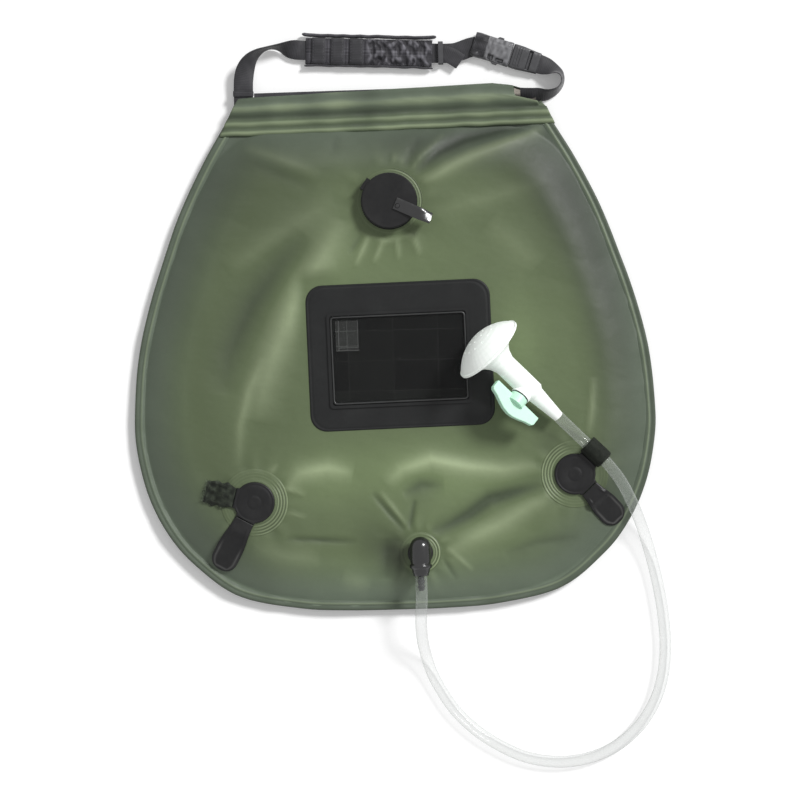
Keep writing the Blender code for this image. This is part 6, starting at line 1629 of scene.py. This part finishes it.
clear_hose = clear_material("clear_hose_vinyl", (0.56, 0.59, 0.57, 1),
                            thin=0.13, thick=0.66, roughness=0.08, gloss=1.0)
clear_window = clear_material("clear_window_vinyl", (0.020, 0.021, 0.021, 1),
                              thin=0.04, thick=0.25, roughness=0.12, gloss=0.12)
hose_curve.materials.append(clear_hose)
print("clear", clear_hose.name, clear_window.name)

# %% [markdown]
# Rigid solids whose shape is right stay as they are, since drawing them again could only move
# them. They get these materials, and a small bevel, because a moulded edge is never sharp.

# %% Finish of the rigid pieces
thermometer = printed_material(
    "temperature_film", 0.5, 0.22,
    ((0.008, 0.009, 0.008, 1), (0.013, 0.015, 0.013, 1), (0.060, 0.064, 0.060, 1)),
    (0.0003, 0.0235, 0.0155), (0.004, 0.1))
SHARP_EDGE = math.radians(40)
FINISHES = (  # material, width of the soft edge, nodes
    (buckle_plastic, 0.0003, ("buckle_prong_upper", "buckle_prong_lower", "strap_keeper")),
    (black_rubber, 0.0003, ("fill_base", "fill_cap", "fill_gasket", "fill_hinge", "fill_backing",
                            "outlet_backing", "tap_washer")),
    (gloss_rubber, 0.0004, ("fill_stud",)),
    (label_vinyl, 0.0002, ("label_frame",)),
    (clear_window, 0.0, ("label_window",)),
    (thermometer, 0.0, ("thermometer_strip",)),
    (head_plastic, 0.0003, ("rose_shell", "spray_plate", "tap_body")),
    (tap_plastic, 0.0003, ("tap_handle", "tap_plug")),
)
for material, bevel, names in FINISHES:
    for name in names:
        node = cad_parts[name]
        node.data.materials.clear()
        node.data.materials.append(material)
        node.data.polygons.foreach_set("use_smooth", [True] * len(node.data.polygons))
        node.data.set_sharp_from_angle(angle=SHARP_EDGE)
        if bevel:
            soft = node.modifiers.new("soft edge", "BEVEL")
            soft.width, soft.segments, soft.angle_limit, soft.harden_normals = bevel, 2, SHARP_EDGE, True
print("finished nodes", sum(len(names) for _, _, names in FINISHES))

# %% [markdown]
# The bag lies on a floor that looks white in the photograph, with soft shadows. Brighter lamps
# would whiten it but wash out the bag, so the floor glows a little towards the camera alone, which
# leaves the light on the bag as it is.

# %% Floor
FLOOR_HALF, FLOOR_LEVEL, FLOOR_GLOW = 0.62, -0.0002, 0.16
floor_mesh = bpy.data.meshes.new("floor")
floor_corners = [(x * FLOOR_HALF, y * FLOOR_HALF + VIEW_MIDDLE[1], FLOOR_LEVEL)
                 for x, y in ((-1, -1), (1, -1), (1, 1), (-1, 1))]
floor_mesh.from_pydata(floor_corners, [], [(0, 1, 2, 3)])
floor = bpy.data.objects.new("floor", floor_mesh)
scene.collection.objects.link(floor)
floor_white, tree, sockets, place = start_material("floor_white", Roughness=0.9, Specular_IOR_Level=0.0)
floor_shade = placed(tree, mottling, Place=place, Size=0.4, Amount=0.004)["Shade"]
to_camera = add_node(tree, "ShaderNodeLightPath").outputs["Is Camera Ray"]
wire(tree, sockets["Base Color"], shaded(tree, (0.90, 0.90, 0.90, 1), floor_shade))
sockets["Emission Color"].default_value = (1, 1, 1, 1)
wire(tree, sockets["Emission Strength"], times(tree, to_camera, FLOOR_GLOW))
floor_mesh.materials.append(floor_white)
print("floor", 2 * FLOOR_HALF, "m wide")

# %% [markdown]
# The light on the bag is plain: about half comes from a broad sun at the upper right and half
# from all round. The sky looks white to the camera and nearly so in reflections, but lights the
# bag with less than half of that, so that the sun's shadows stay.

# %% Sun and sky
SUN_TOWARDS, SUN_STRENGTH, SUN_SPREAD = (0.56, 0.47, 0.66), 2.8, math.radians(14)
SKY_LIGHT, SKY_REFLECTED = 0.45, 0.7
sun_data = bpy.data.lights.new("sun", "SUN")
sun_data.energy = SUN_STRENGTH
sun_data.angle = SUN_SPREAD
sun = bpy.data.objects.new("sun", sun_data)
sun.rotation_euler = Vector(SUN_TOWARDS).to_track_quat("Z", "Y").to_euler()
scene.collection.objects.link(sun)
world = bpy.data.worlds.new("sky")
scene.world = world
world.use_nodes = True
tree = world.node_tree
rays = add_node(tree, "ShaderNodeLightPath").outputs
mirrored = maths(tree, "MAXIMUM", rays["Is Glossy Ray"], rays["Is Transmission Ray"])
seen = maths(tree, "MAXIMUM", rays["Is Camera Ray"], times(tree, mirrored, SKY_REFLECTED))
background = tree.nodes["Background"].inputs
wire(tree, background["Strength"], maths(tree, "MULTIPLY_ADD", seen, 1 - SKY_LIGHT, SKY_LIGHT))
background["Color"].default_value = (1, 1, 1, 1)
scene.view_settings.view_transform = "Standard"
print("sun", sun_data.energy)
